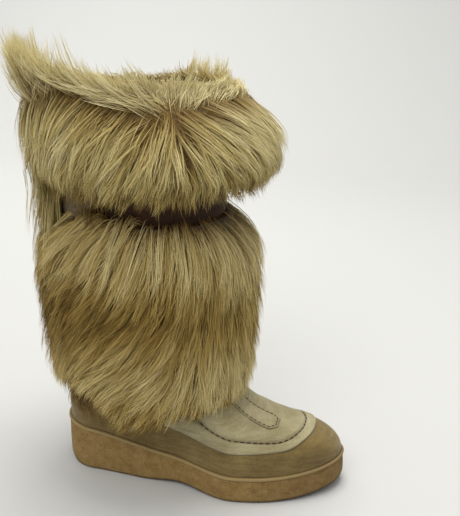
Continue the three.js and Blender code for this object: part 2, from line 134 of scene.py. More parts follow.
# The apron, its raised plug and the strip down its middle
LAY_GAP = 0.3
APRON_THICK = 1.5
PLUG_THICK = 2.5
STRIP_THICK = 1.2
APRON_BACK = 112.0
APRON_EDGE = {"inset": 1.5, "toe_inset": 27.5, "back": 28.0, "front": 22.5, "settles": 0.5}
PLUG_EDGE = {"inset": 6.0, "toe_inset": 38.0, "back": 47.0, "front": 29.5, "settles": 0.68}
APRON_FULLNESS = 2.3
CORNER_SOFTNESS = 3.0
SKIVED_EDGE = 1.4
# Painted shadow along the cut edge of the apron and the strip: its share and width
EDGE_SHADE = {"share": 0.8, "width": 1.1}
THINNEST = 0.05
RIPPLE = 0.18
# Relief and shade of the apron by distance inside the plug's edge: height, place and spread
GROOVE = (-1.25, -0.9, 0.8)
PLUG_ROLL = (0.4, 1.9, 1.2)
RIM_ROLL = (0.3, -3.2, 1.4)
GROOVE_SHADE = (0.5, -0.9, 0.7)
STRIP = {"back": 150.0, "shoulder": 208.0, "tip": 215.0, "half": 12.5, "tip_half": 7.0, "y": -8.5}
# The strip's edge: thickness, width and strength of its painted shadow; then its seam groove, whose depth
# and painted shade share height, place and spread
STRIP_EDGE = {"thick": 0.15, "width": 1.2, "shade": 0.7}
STRIP_SEAM = (0.35, 2.2, 0.7)
APRON_STITCH = {"spacing": 6.0, "radius": 0.52, "rise": 0.3}
STRIP_STITCH = {"spacing": 4.6, "radius": 0.42, "rise": 0.3}

# Lean of the lower hair to the back, in degrees from hanging straight, by level and by angle from the front
LEAN_ANGLES = (0, 20, 46, 60, 82, 110, 135, 160, 180)
LEAN = (
    (90, (0, 0, 8, 22, 34, 26, 14, 4, 0)),
    (130, (0, 0, 10, 32, 52, 40, 22, 6, 0)),
    (190, (0, 2, 14, 27, 36, 33, 25, 8, 0)),
    (250, (0, 0, 2, 5, 20, 44, 55, 15, 0)),
)
# Painted light and shade of the lower sleeve: light on its top bulge, shade through its middle and light on
# its swell above the foot, each as strength, level and spread; then light at the front and more shade at the
# hem by the heel, each as strength, angle in radians and spread; then the painted shade at the hem, and how
# far the middle shade and foot light drift round the leg
SHAFT_TOP_LIGHT = (0.27, 260.0, 20.0)
SHAFT_MIDDLE_SHADE = (-0.3, 208.0, 30.0)
SHAFT_FOOT_LIGHT = (0.2, 142.0, 28.0)
SHAFT_FRONT_LIGHT = (0.28, 0.0, 0.7)
SHAFT_HEEL_SHADE = (0.1, 1.9, 0.5)
HEM_SHADE = 0.42
TONE_DRIFT = 11.0
# Roots of the lower hair: above its tips, up to the band, and the stretch above the hem that gets painted
# shade
SHAFT_ROOTS = {"above_hem": 14.0, "top": 264.0, "rise": 5.0, "hem_band": 30.0}
# How far the lower hair rises over the band's edge, by angle from the front
RISE_ANGLES = (0, 40, 70, 125, 150, 180)
RISE = (0.3, 0.35, 1, 0.9, 0.2, 0.1)
HUMP = {"height": 28.0, "from": 236.0, "over": 24.0}
# Level of the lower tips by angle from the front
HEM_ANGLES = (0, 30, 60, 72, 84, 89, 92, 95, 100, 104, 110, 122, 140, 152, 165, 180)
HEM_TIPS = (85, 87, 86, 78, 70, 68, 77, 64, 62, 84, 100, 106, 104, 92, 79, 74)
# The whorl in the cuff, and the parting that leaves it to the back
WHORL = {"angle": math.radians(-59), "level": 358.0, "reach": 95.0, "fall": 0.42, "far_fall": 0.6}
PARTING_ANGLES = (-180, -140, -103, -80, -59, -40, -10, 40, 60, 130, 160, 180)
PARTING_LEVELS = (370, 372, 374, 366, 359, 364, 366, 362, 358, 358, 366, 370)
# The crown by angle: highest roots, tilt from upright in degrees, length, lean outwards and highest tips
CROWN_TABLE = (
    (-180, 378, 12, 40, 5, 400),
    (-165, 380, 10, 52, 6, 410),
    (-150, 380, -8, 56, 6, 412),
    (-135, 380, -26, 58, 5, 409),
    (-120, 379, -42, 58, 5, 405),
    (-95, 378, -60, 56, 5, 401),
    (-75, 376, -66, 50, 3, 396),
    (-63, 374, -50, 42, -1, 391),
    (-59, 373, 0, 38, -4, 388),
    (-50, 373, 45, 36, -6, 384),
    (-20, 373, 55, 30, -6, 379),
    (10, 371, 40, 24, -4, 374),
    (38, 368, 10, 18, -6, 374),
    (48, 369, -10, 28, 2, 387),
    (60, 370, 0, 32, 3, 391),
    (72, 369, 10, 30, 2, 389),
    (80, 366, 0, 15, -12, 372),
    (130, 366, 10, 14, -14, 366),
    (160, 372, 0, 24, -2, 374),
    (180, 378, 12, 40, 5, 400),
)
CROWN_TURN = {"share": 0.6, "over": 26.0}
# The wild tuft at the back of the crown
TUFT = {"angle": -160.0, "spread": 17.0, "locks": 190, "low": 356, "high": 380, "splay": 15.0, "tips": 414.0}
# The falling hair of the cuff: its lowest roots and tips, its layers, its tone with painted light that grows
# upwards, and the depth of its roots
CUFF_ROOTS = 300.0
CUFF_TIPS = 285.0
CUFF_LAYER = {"rise": 10.0, "from": 312.0, "over": 26.0}
CUFF_TONE_AND_LIGHT = {"middle": 0.06, "slope": 0.5 / 40, "level": 341.0}
CUFF_DEPTH = {"deep": 13.0, "less": 7.0, "below": 16.0, "over": 14.0}
# Painted shade in the crease left of the whorl: spread from the parting, then angle and spread in degrees
CREASE = {"spread": 10.0, "angle": -90.0, "angle_spread": 34.0}
# Patches of hair: angle and half spread in radians, lowest and highest roots
GUARD = {"angle": 2.1, "half": 0.36, "low": 106.0, "high": 122.0}
FRINGE = {"angle": 3.4, "half": 0.42, "low": 300.0, "high": 336.0}
SHADE = {"angle": 3.75, "half": 0.6, "low": 296.0, "high": 318.0}
MOUTH = {"low": 330.0, "high": 366.0}
BANK_LEVEL = 372.0
# Length of the locks and its spread
SHAFT_LOCK = (50.0, 7.0)
GUARD_LOCK = (46.0, 9.0)
CUFF_LOCK = (52.0, 7.0)
TUFT_LOCK = (47.0, 8.0)
BANK_LOCK = (17.0, 3.0)
FRINGE_LOCK = (92.0, 14.0)
SHADE_LOCK = (50.0, 8.0)
MOUTH_LOCK = (15.0, 2.0)
# The wool under the hair: depth under the fur's surface, seat on the leg, and its ends
WOOL = {"depth": 9.0, "thick": 12.0, "seat": 2.2, "seat_from": 112.0, "seat_over": 30.0}
SHAFT_WOOL = {"above_hem": 16.0, "top": 262.5}
CUFF_WOOL = {"bottom": 296.0, "drop": 33.0, "angle": 3.55, "half": 0.8}

# Numbers that set how fine the meshes and the hair are
SOLE_COUNT = 110
INSOLE_COUNT = 80
CAP_SHARES = (0.0, 0.25, 0.5, 0.78)
FOOT_COUNT = 110
FOOT_ACROSS = 61
APRON_COUNT = 121
APRON_ACROSS = 91
STRIP_COUNT = 90
STRIP_ACROSS = 33
TURN_STEPS = 1201
SECTION_STEPS = 900
EDGE_STEPS = 600
SEAM_SIDE_STEPS = 80
SEAM_TIP_STEPS = 20
LEG_COUNT = 60
LEG_ROUND = 120
FLEECE_BACK_COUNT = 30
FLEECE_FACE_COUNT = 40
WOOL_COUNT = 28
BACKDROP_STEPS = 20
STITCH_STEPS = 8
STITCH_SIDES = 6
OVERLAY_SHARP = 50
UPPER_SHARP = 42
HAIR_STEPS = 5
HAIR_WIDTH = 0.5
LOCK_SPACING = 4.0
CROWN_SPACING = 3.0
GUARD_SPACING = 3.5
MOUTH_SPACING = 5.5
BANK_LOCKS = 560
FUR_RADIUS = 90.0
FUR_TALLEST = 200.0
STRAND_PROFILE = np.array([0.8, 1.0, 1.0, 0.85, 0.6, 0.0])
# A lock whose batch says no more: strands, depth of its root, lift of its tip, and how it lies
PLAIN_LOCK = {
    "strands": 8, "depth": 13.0, "lift": 3.0, "hump": 0.0, "tone": 0.0,
    "lean": 0.13, "ragged": 2.5, "clump": 0.75,
}
# How locks differ from each other, and then the strands of one lock
LOCK_SPREAD = {"rounds": (0.5, 1.2), "curl": 1.2, "lift": 2.6, "rise": 2.2, "shortest": 0.2, "tone": 0.1}
STRAND_SPREAD = {
    "aside": 0.7, "gather": 0.18, "most_gathered": 0.97, "stray": 1.4, "length": (0.72, 1.0), "depth": 1.2,
    "tone": 0.09, "twist": 0.55, "width": (0.7, 1.3),
}

# Softboxes: place, aim, size, watts and colour
SOFTBOXES = {
    "key_softbox": ((-0.1, -1.0, 1.45), (0.0, 0.0, 0.15), 0.8, 7.0, (1.0, 0.99, 0.97)),
    "overhead_softbox": ((0.05, 0.15, 1.7), (0.0, 0.0, 0.15), 0.7, 18.0, (1.0, 0.99, 0.96)),
    "back_softbox": ((-0.9, 0.8, 1.4), (-0.7, 2.0, 0.5), 1.0, 13.0, (1.0, 1.0, 0.98)),
}
DOME_HORIZON = (0.1, 0.1, 0.097, 1.0)
DOME_TOP = (1.05, 1.05, 1.03, 1.0)
# The floor in metres: half width, near edge, where it starts to curve up, radius and height of the backdrop
FLOOR = {"half": 6.0, "near": -6.0, "curve": 1.1, "radius": 0.9, "height": 4.0}
FLOOR_COLOUR = (0.6, 0.6, 0.588, 1.0)
# The camera on the last's axes
CAMERA_PLACE = (324.06, -619.53, 470.0)
CAMERA_AIM = (163.3, 7.8, 219.3)
CAMERA_LENS = 53.95


def srgb(red, green, blue):
    """A colour of 0 to 255 as the shaders take it."""
    parts = [c / 255 for c in (red, green, blue)]
    return tuple(c / 12.92 if c < 0.04045 else ((c + 0.055) / 1.055) ** 2.4 for c in parts) + (1.0,)


def ease(t):
    c = np.clip(t, 0, 1)
    return c * c * (3 - 2 * c)


def mix(a, b, t):
    return a + (b - a) * t


def hill(value, height, middle, spread):
    """A soft hill round a middle value."""
    return height * np.exp(-(((value - middle) / spread) ** 2))


def unit(vectors):
    return vectors / np.maximum(np.linalg.norm(vectors, axis=-1, keepdims=True), 1e-9)


def run_along(path):
    """Distance along a path at each of its points."""
    return np.concatenate([[0], np.cumsum(np.linalg.norm(np.diff(path, axis=0), axis=1))])


def level_at(level):
    return lambda angle: np.full_like(angle, level)


def column(table, index, at):
    """Smooth value of one column of a table, whose first column is the key."""
    keys = np.array([row[0] for row in table], float)
    values = np.array([row[index] for row in table], float)
    before = np.maximum(np.arange(len(keys)) - 1, 0)
    after = np.minimum(np.arange(len(keys)) + 1, len(keys) - 1)
    slopes = (values[after] - values[before]) / (keys[after] - keys[before])
    i = np.clip(np.searchsorted(keys, at) - 1, 0, len(keys) - 2)
    span = keys[i + 1] - keys[i]
    t = np.clip((at - keys[i]) / span, 0, 1)
    bend = ((1 - t) * slopes[i] - t * slopes[i + 1]) * span * t * (1 - t)
    return mix(values[i], values[i + 1], ease(t)) + bend


def outline_side(along, inset, side):
    heel_end = HEEL_HALF_WIDTH / SOLE_LENGTH
    waist_at = WAIST[side + "_at"]
    to_waist = ease((along - heel_end) / (waist_at - heel_end))
    to_ball = ease((along - waist_at) / (BALL[side + "_at"] - waist_at))
    waist = (WAIST[side] - HEEL_HALF_WIDTH) * to_waist
    return HEEL_HALF_WIDTH + waist + (BALL[side] - WAIST[side]) * to_ball - inset


def swing(along):
    return TOE_SWING * ease((along - TOE_SWING_FROM) / (1 - TOE_SWING_FROM))


def outline(x, inset):
    """Outer and inner edge of the foot's plan at x."""
    along = x / SOLE_LENGTH
    heel = np.maximum(HEEL_HALF_WIDTH - x, 0) / (HEEL_HALF_WIDTH - inset)
    toe = np.maximum(x - (SOLE_LENGTH - TOE_ROUND_LENGTH), 0) / (TOE_ROUND_LENGTH - inset)
    end = np.sqrt(np.maximum(1 - heel**2, 0)) * np.sqrt(np.maximum(1 - toe**2, 0))
    lateral = swing(along) - end * outline_side(along, inset, "lateral")
    medial = swing(along) + end * outline_side(along, inset, "medial")
    return lateral, medial


def stations(count, inset):
    return inset + (SOLE_LENGTH - 2 * inset) * (1 - np.cos(np.pi * np.arange(count + 1) / count)) / 2


def sole_top(x):
    along = x / SOLE_LENGTH
    toe = np.maximum(along - TOE_TOP_FROM, 0) / (1 - TOE_TOP_FROM)
    return mix(HEEL_THICK, FOREFOOT_THICK, ease(along / WEDGE_ENDS_AT)) + TOE_TOP_RISE * toe**2


def sole_bottom(x):
    along = x / SOLE_LENGTH
    arch = np.clip((along - ARCH["from"]) / (ARCH["to"] - ARCH["from"]), 0, 1)
    toe = np.maximum(along - TOE_SPRING["from"], 0) / (1 - TOE_SPRING["from"])
    roll = np.maximum(HEEL_ROLL["length"] - x, 0) / HEEL_ROLL["length"]
    spring = TOE_SPRING["rise"] * toe**2 + HEEL_ROLL["rise"] * roll**2
    return ARCH["rise"] * np.sin(np.pi * arch) ** 2 + spring


def power(value, exponent):
    return np.sign(value) * np.abs(value) ** exponent


def foot_section(x, offset):
    """Middle, half width, base and height of the foot's arch at x, grown by offset."""
    inset = LEDGE - offset
    lateral, medial = outline(x, inset)
    base = sole_top(x) + SEAT_GAP
    toe_start = SOLE_LENGTH - TOE_BOX_LENGTH
    toe = np.clip((x - toe_start) / (SOLE_LENGTH - inset - toe_start), 0, 1)
    rounding = (1 - toe**TOE_BOX_FULLNESS) ** (1 / TOE_BOX_FULLNESS)
    height = (column(CROWN, 1, x) + offset - base) * rounding
    return (lateral + medial) / 2, (medial - lateral) / 2, base, height


def foot_point(x, turn, offset):
    """Point of the foot; turn goes from 0 at the outer base over the crown to pi at the inner base."""
    middle, half, base, height = foot_section(x, offset)
    y = middle - half * power(np.cos(turn), 2 / ARCH_FULLNESS)
    z = base + height * power(np.sin(turn), 2 / ARCH_FULLNESS)
    return np.stack(np.broadcast_arrays(x, y, z), -1)


def foot_height(x, y, offset):
    middle, half, base, height = foot_section(x, offset)
    v = np.clip(np.abs(y - middle) / half, 0, 1)
    return base + height * (1 - v**ARCH_FULLNESS) ** (1 / ARCH_FULLNESS)


def ring_point(table, angle, level, out):
    """Point round the leg; angle 0 faces the toe and grows to the inner side."""
    x = column(table, 1, level) + (column(table, 2, level) + out) * np.cos(angle)
    y = (column(table, 3, level) + out) * np.sin(angle)
    return np.stack(np.broadcast_arrays(x, y, level), -1)


# The frame's place of the last
band_low, band_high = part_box("calf_band")
LAST_SHIFT = np.array([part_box("sole")[0].x * 1000, (band_low.y + band_high.y) * 500, 0.0])


def to_frame(points):
    return (np.asarray(points, float) + LAST_SHIFT) / 1000


# Materials
class Shader:
    """A material and short words for the nodes that feed it."""

    def __init__(self, name, roughness, specular=0.25, sheen=0.0):
        self.material = bpy.data.materials.new(name)
        self.material.use_nodes = True
        self.tree = self.material.node_tree
        self.surface = self.tree.nodes["Principled BSDF"]
        self.surface.inputs["Roughness"].default_value = roughness
        self.surface.inputs["Specular IOR Level"].default_value = specular
        self.surface.inputs["Sheen Weight"].default_value = sheen
        self.surface.inputs["Sheen Roughness"].default_value = 0.5

    def node(self, kind, inputs=(), **settings):
        made = self.tree.nodes.new(kind)
        for key, value in settings.items():
            setattr(made, key, value)
        for key, value in dict(inputs).items():
            if isinstance(value, bpy.types.NodeSocket):
                self.tree.links.new(value, made.inputs[key])
            else:
                made.inputs[key].default_value = value
        return made

    def place(self):
        return self.node("ShaderNodeTexCoord").outputs["Object"]

    def noise(self, place, scale, detail=3.0, roughness=0.6):
        words = {"Vector": place, "Scale": scale, "Detail": detail, "Roughness": roughness}
        return self.node("ShaderNodeTexNoise", words).outputs["Fac"]

    def cells(self, place, scale, feature="F1"):
        words = {"Vector": place, "Scale": scale}
        return self.node("ShaderNodeTexVoronoi", words, feature=feature).outputs["Distance"]

    def stretched(self, place, factors):
        return self.node("ShaderNodeVectorMath", {0: place, 1: factors}, operation="MULTIPLY").outputs[0]

    def math(self, operation, a, b):
        return self.node("ShaderNodeMath", {0: a, 1: b}, operation=operation).outputs[0]

    def ramp(self, factor, stops):
        made = self.node("ShaderNodeValToRGB", {"Fac": factor})
        elements = made.color_ramp.elements
        while len(elements) < len(stops):
            elements.new(0.5)
        for element, (position, colour) in zip(elements, stops):
            element.position = position
            element.color = colour
        return made.outputs["Color"]

    def blend(self, factor, a, b, how="MIX"):
        made = self.node("ShaderNodeMix", {0: factor, 6: a, 7: b}, data_type="RGBA", blend_type=how)
        return made.outputs[2]

    def colour(self, socket):
        self.tree.links.new(socket, self.surface.inputs["Base Color"])

    def bump(self, height, depth, strength=1.0):
        words = {"Height": height, "Distance": depth, "Strength": strength}
        made = self.node("ShaderNodeBump", words)
        self.tree.links.new(made.outputs["Normal"], self.surface.inputs["Normal"])


def suede(name, dark, middle, light, seam_and_shadow=None):
    """Napped leather: softly mottled, with a fine pile, faint strokes and painted shadow along its seams."""
    shader = Shader(name, 0.95, 0.15, 0.25)
    place = shader.place()
    mottle = shader.noise(place, 30, 3, 0.55)
    strokes = shader.noise(shader.stretched(place, (60, 60, 420)), 1.0, 3, 0.6)
    nap = shader.noise(place, 1100, 3, 0.7)
    worn = shader.blend(0.45, mottle, strokes)
    coat = shader.ramp(shader.blend(0.4, worn, nap), ((0.36, dark), (0.5, middle), (0.64, light)))
    # Painted shadow where the mesh marks its seams and grooves
    if seam_and_shadow:
        line = shader.node("ShaderNodeAttribute", attribute_name="seam_and_shadow").outputs["Fac"]
        coat = shader.blend(line, coat, seam_and_shadow)
    shader.colour(coat)
    shader.bump(nap, 0.0005, 0.6)
    return shader.material


def crepe_rubber():
    shader = Shader("crepe_rubber", 0.8, 0.25)
    place = shader.place()
    pebbles = shader.cells(place, 420, "SMOOTH_F1")
    crumbs = shader.noise(place, 700, 3, 0.7)
    mottle = shader.noise(place, 110, 4, 0.6)
    stops = ((0.3, srgb(118, 90, 49)), (0.5, srgb(150, 121, 72)), (0.68, srgb(170, 142, 94)))
    rubber = shader.ramp(shader.blend(0.5, crumbs, mottle), stops)
    paleness = shader.node("ShaderNodeAttribute", attribute_name="paleness").outputs["Fac"]
    painted_shade = shader.node("ShaderNodeAttribute", attribute_name="painted_shade").outputs["Fac"]
    pale = shader.blend(paleness, rubber, srgb(166, 143, 97))
    # Painted shade: the rubber turns dark brown for the contact shadow at its foot, the shade under its lip
    # and under the upper, and towards the toe
    shader.colour(shader.blend(painted_shade, pale, srgb(58, 42, 24)))
    height = shader.math("SUBTRACT", crumbs, pebbles)
    shader.bump(height, 0.0008, 0.7)
    return shader.material


def leather(name, dark, light):
    shader = Shader(name, 0.7, 0.2)
    place = shader.place()
    grain = shader.cells(place, 700)
    wear = shader.noise(place, 70, 4, 0.6)
    shader.colour(shader.ramp(wear, ((0.35, dark), (0.7, light))))
    shader.bump(grain, 0.0003, 0.5)
    return shader.material


def pile(name, dark, light, scale, depth):
    """Fleece or felt: small curls and soft mottling."""
    shader = Shader(name, 1.0, 0.1, 0.3)
    place = shader.place()
    curls = shader.noise(place, scale, 4, 0.7)
    shader.colour(shader.ramp(curls, ((0.35, dark), (0.65, light))))
    shader.bump(curls, depth, 0.8)
    return shader.material


def thread(name, colour):
    shader = Shader(name, 0.8, 0.2)
    twist = shader.noise(shader.place(), 1500, 2, 0.5)
    shader.colour(shader.blend(twist, colour, srgb(40, 31, 18)))
    return shader.material


def hair(name, roots, stops):
    """Hair coloured by its own map: across is the strand's tone, up is the way from root to tip, which
    darkens towards the root as painted shade deep in the coat.
    """
    shader = Shader(name, 0.62, 0.18, 0.0)
    uv = shader.node("ShaderNodeUVMap", uv_map="OFBake").outputs["UV"]
    parts = shader.node("ShaderNodeSeparateXYZ", {"Vector": uv}).outputs
    tone = shader.ramp(parts["X"], stops)
    # Painted shade deep in the coat: the roots colour darkens each strand near its root
    depth = shader.ramp(parts["Y"], ((0.0, roots), (0.4, srgb(218, 212, 200)), (1.0, srgb(255, 255, 255))))
    shader.colour(shader.blend(1.0, tone, depth, "MULTIPLY"))
    return shader.material


# Colour of the painted shadow in the seams and grooves of the pale suede
SEAM_SHADOW = srgb(74, 60, 36)
SUEDE_DARK = suede("suede_dark", srgb(92, 74, 42), srgb(122, 103, 61), srgb(146, 127, 80))
SUEDE_PALE = suede("suede_pale", srgb(132, 121, 86), srgb(160, 150, 114), srgb(182, 174, 140), SEAM_SHADOW)
SUEDE_STRIP = suede("suede_strip", srgb(136, 124, 88), srgb(164, 153, 117), srgb(186, 178, 144), SEAM_SHADOW)
CREPE = crepe_rubber()
BAND_LEATHER = leather("band_leather", srgb(46, 27, 15), srgb(72, 46, 28))
LEG_LEATHER = leather("leg_leather", srgb(70, 52, 32), srgb(104, 82, 52))
LINING = pile("lining_fleece", srgb(124, 100, 66), srgb(186, 166, 122), 420, 0.002)
FELT = pile("insole_felt", srgb(92, 82, 66), srgb(140, 128, 106), 650, 0.0008)
THREAD = thread("dark_thread", srgb(66, 52, 30))
FUR_STOPS = (
    (0.0, srgb(110, 81, 33)),
    (0.35, srgb(174, 146, 76)),
    (0.65, srgb(212, 189, 122)),
    (1.0, srgb(240, 226, 172)),
)
CUFF_STOPS = (
    (0.0, srgb(112, 86, 40)),
    (0.35, srgb(178, 155, 88)),
    (0.65, srgb(216, 199, 136)),
    (1.0, srgb(244, 234, 186)),
)
FUR_SHAFT = hair("fur_shaft_hair", srgb(150, 124, 88), FUR_STOPS)
FUR_CUFF = hair("fur_cuff_hair", srgb(150, 126, 90), CUFF_STOPS)
FUR_BASE = pile("fur_underwool", srgb(78, 58, 28), srgb(126, 102, 56), 300, 0.003)


# Meshes
def loft(rows, closed=True):
    """Points and four-sided faces of a surface through rows of points."""
    rows = np.asarray(rows, float)
    index = np.arange(rows.shape[0] * rows.shape[1]).reshape(rows.shape[:2])
    here = index if closed else index[:, :-1]
    beside = np.roll(index, -1, axis=1) if closed else index[:, 1:]
    faces = np.stack([here[:-1], beside[:-1], beside[1:], here[1:]], -1)
    return rows.reshape(-1, 3), faces.reshape(-1, 4)


def new_mesh(name, points, faces):
    mesh = bpy.data.meshes.new(name)
    mesh.vertices.add(len(points))
    mesh.vertices.foreach_set("co", to_frame(points).ravel())
    corners = faces.shape[1]
    mesh.loops.add(faces.size)
    mesh.loops.foreach_set("vertex_index", faces.ravel().astype(np.int32))
    mesh.polygons.add(len(faces))
    mesh.polygons.foreach_set("loop_start", np.arange(0, faces.size, corners, dtype=np.int32))
    mesh.update(calc_edges=True)
    mesh.validate()
    return mesh


def tidy(mesh):
    """Joins points that lie on each other and turns the faces outwards."""
    work = bmesh.new()
    work.from_mesh(mesh)
    bmesh.ops.remove_doubles(work, verts=work.verts, dist=2e-6)
    bmesh.ops.dissolve_degenerate(work, edges=work.edges, dist=1e-7)
    bmesh.ops.recalc_face_normals(work, faces=work.faces)
    work.to_mesh(mesh)
    work.free()


def mark(mesh, name, values):
    """Gives every point of a mesh a number that its material reads."""
    layer = mesh.attributes.new(name, "FLOAT", "POINT")
    layer.data.foreach_set("value", np.asarray(values, np.float32).ravel())


def placed(name, mesh, materials):
    made = bpy.data.objects.new(name, mesh)
    bpy.context.scene.collection.objects.link(made)
    for material in materials:
        mesh.materials.append(material)
    return made


def finished(made, nodes=(), sharp=None):
    """Makes an object a piece of the boot."""
    made.data.shade_smooth()
    if sharp:
        made.data.set_sharp_from_angle(angle=math.radians(sharp))
    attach(made, "root")
    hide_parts(*nodes)


def solid(name, rows, material, nodes=()):
    mesh = new_mesh(name, *loft(rows))
    tidy(mesh)
    finished(placed(name, mesh, [material]), nodes)


# Sole
def outline_ring(count, inset, level):
    """Points round the plan of the foot, outer side first; level gives z at x."""
    x = stations(count, inset)
    lateral, medial = outline(x, inset)
    z = level(x)
    outer = np.stack([x, lateral, z], -1)
    inner = np.stack([x, medial, z], -1)
    return np.concatenate([outer, inner[-2:0:-1]])


def drawn_in(ring, share):
    """A ring with its points moved across towards the middle line."""
    count = len(ring) // 2
    inner = np.concatenate([ring[:1], ring[:count:-1], ring[count:count + 1]])
    middle = (ring[:count + 1, 1] + inner[:, 1]) / 2
    whole = np.concatenate([middle, middle[-2:0:-1]])
    moved = ring.copy()
    moved[:, 1] = mix(whole, ring[:, 1], share)
    return moved


def sole_level(share, rise):
    return lambda x: mix(sole_bottom(x), sole_top(x), share) + rise


sole_rows = [outline_ring(SOLE_COUNT, row[0], sole_level(row[1], row[2])) for row in SOLE_SIDE]
bottom_cap = [drawn_in(sole_rows[0], share) for share in CAP_SHARES]
top_cap = [drawn_in(sole_rows[-1], share) for share in reversed(CAP_SHARES)]
sole_mesh = new_mesh("sole_crepe", *loft(bottom_cap + sole_rows + top_cap))
around = np.tile(outline_ring(SOLE_COUNT, 0, sole_top)[:, 0], len(SOLE_SIDE) + 2 * len(CAP_SHARES))
toe_shade = TOE_SHADE["share"] * ease((around - TOE_SHADE["from"]) / TOE_SHADE["length"])
# Paleness and painted shade of the rubber, row by row, with painted shade growing towards the toe
for name, index, extra in (("paleness", 3, 0), ("painted_shade", 4, toe_shade)):
    shades = [SOLE_SIDE[0][index]] * len(CAP_SHARES) + [row[index] for row in SOLE_SIDE]
    shades += [SOLE_SIDE[-1][index]] * len(CAP_SHARES)
    mark(sole_mesh, name, np.repeat(shades, 2 * SOLE_COUNT) + extra)
tidy(sole_mesh)
finished(placed("sole_crepe", sole_mesh, [CREPE]), ["sole"])

# Insole
insole_rows = []
for inset, rise in INSOLE_SIDE:
    level = sole_level(1.0, SEAT_GAP + rise)
    insole_rows.append(outline_ring(INSOLE_COUNT, INSOLE_INSET + inset, level))
insole_rows = [drawn_in(insole_rows[0], s) for s in CAP_SHARES] + insole_rows
insole_rows += [drawn_in(insole_rows[-1], s) for s in reversed(CAP_SHARES)]
solid("insole_felt", insole_rows, FELT, ["insole"])


# Upper
def foot_form(offset, skirt):
    """Closed form of the foot, grown by offset, that reaches skirt below its base."""
    x = stations(FOOT_COUNT, LEDGE - offset)[:, None]
    turn = np.linspace(0, np.pi, FOOT_ACROSS)[None, :]
    arch = foot_point(x, turn, offset)
    low = arch[:, [0, -1]].copy()
    low[:, :, 2] -= skirt
    return np.concatenate([low[:, :1], arch, low[:, 1:]], axis=1)


def around_leg(count):
    return np.linspace(0, 2 * np.pi, count + 1)[None, :-1]


def leg_form(offset, low, top):
    levels = np.linspace(low, top, LEG_COUNT)[:, None]
    rings = ring_point(LEG, around_leg(LEG_ROUND), levels, offset)
    bottom = np.repeat(rings[:1].mean(axis=1, keepdims=True), LEG_ROUND, axis=1)
    lid = np.repeat(rings[-1:].mean(axis=1, keepdims=True), LEG_ROUND, axis=1)
    return np.concatenate([bottom, rings, lid])


def blank(name, rows, material_index):
    mesh = new_mesh(name, *loft(rows))
    tidy(mesh)
    mesh.polygons.foreach_set("material_index", np.full(len(mesh.polygons), material_index, np.int32))
    return placed(name, mesh, (SUEDE_DARK, LEG_LEATHER, LINING))


def combine(target, other, operation):
    cut = target.modifiers.new("cut", "BOOLEAN")
    cut.operation = operation
    cut.object = other
    cut.solver = "EXACT"
    ready = target.evaluated_get(bpy.context.evaluated_depsgraph_get())
    mesh = bpy.data.meshes.new_from_object(ready)
    target.modifiers.clear()
    target.data = mesh
    bpy.data.objects.remove(other)


upper = blank("upper_suede", foot_form(0.0, 0.0), 0)
combine(upper, blank("leg_outside", leg_form(0.0, LEG_FOOT["outside"], COLLAR_HEIGHT), 1), "UNION")
leg_hollow = leg_form(-WALL, LEG_FOOT["inside"], COLLAR_HEIGHT + WALL)
combine(upper, blank("leg_inside", leg_hollow, 2), "DIFFERENCE")
combine(upper, blank("foot_inside", foot_form(-WALL, SKIRT), 2), "DIFFERENCE")
finished(upper, ["upper"], UPPER_SHARP)

# Lining
fleece_up = np.linspace(FLEECE["low"], FLEECE["high"], FLEECE_BACK_COUNT)
fleece_down = np.linspace(FLEECE["high"], FLEECE["low"], FLEECE_FACE_COUNT)
fleece_levels = np.concatenate([fleece_up, [FLEECE["edge"]], fleece_down])
fleece_depths = (FLEECE["back_in"], FLEECE["edge_in"], FLEECE["face_in"])
fleece_out = -WALL - np.repeat(fleece_depths, (len(fleece_up), 1, len(fleece_down)))
lining_rows = ring_point(LEG, around_leg(LEG_ROUND), fleece_levels[:, None], fleece_out[:, None])
lining_rows = np.concatenate([lining_rows, lining_rows[:1]])
solid("fleece_lining", lining_rows, LINING)


# Apron
def margin(x, y, z, edge):
    """How far a point of the foot lies inside an edge of the apron, in millimetres."""
    along = (x - APRON_BACK) / (SOLE_LENGTH - APRON_BACK)
    above = z - sole_top(x) - mix(edge["back"], edge["front"], ease(along / edge["settles"]))
    whole = x / SOLE_LENGTH
    centre = swing(whole)
    side_outer = outline_side(whole, edge["inset"], "lateral")
    side_inner = outline_side(whole, edge["inset"], "medial")
    side = np.where(y < centre, side_outer, side_inner)
    reach = TOE_ROUND_LENGTH - edge["toe_inset"]
    toe = np.maximum(x - (SOLE_LENGTH - TOE_ROUND_LENGTH), 0) / reach
    across = np.abs(y - centre) / side
    full = APRON_FULLNESS
    radius = np.maximum((toe**full + across**full) ** (1 / full), 1e-6)
    slope_x = (toe / radius) ** (full - 1) / reach
    slope_y = (across / radius) ** (full - 1) / side
    inside = (1 - radius) / np.maximum(np.hypot(slope_x, slope_y), 1e-6)
    nearer = np.clip(0.5 + 0.5 * (inside - above) / CORNER_SOFTNESS, 0, 1)
    return mix(inside, above, nearer) - CORNER_SOFTNESS * nearer * (1 - nearer)


def edge_turns(x, edge, depth):
    """The turns at which the section at x crosses the line that lies depth inside an edge."""
    turn = np.linspace(0.02, np.pi - 0.02, TURN_STEPS)
    point = foot_point(np.full_like(turn, x), turn, 0.0)
    inside = margin(point[:, 0], point[:, 1], point[:, 2], edge) > depth
    if not inside.any():
        return None
    found = np.flatnonzero(inside)
    return turn[found[0]], turn[found[-1]]


def section_points(x, first, last, count):
    """Turns from first to last that are evenly spaced along the section."""
    turn = np.linspace(first, last, SECTION_STEPS)
    path = foot_point(np.full_like(turn, x), turn, 0.0)
    run = run_along(path)
    return np.interp(np.linspace(0, run[-1], count), run, turn)


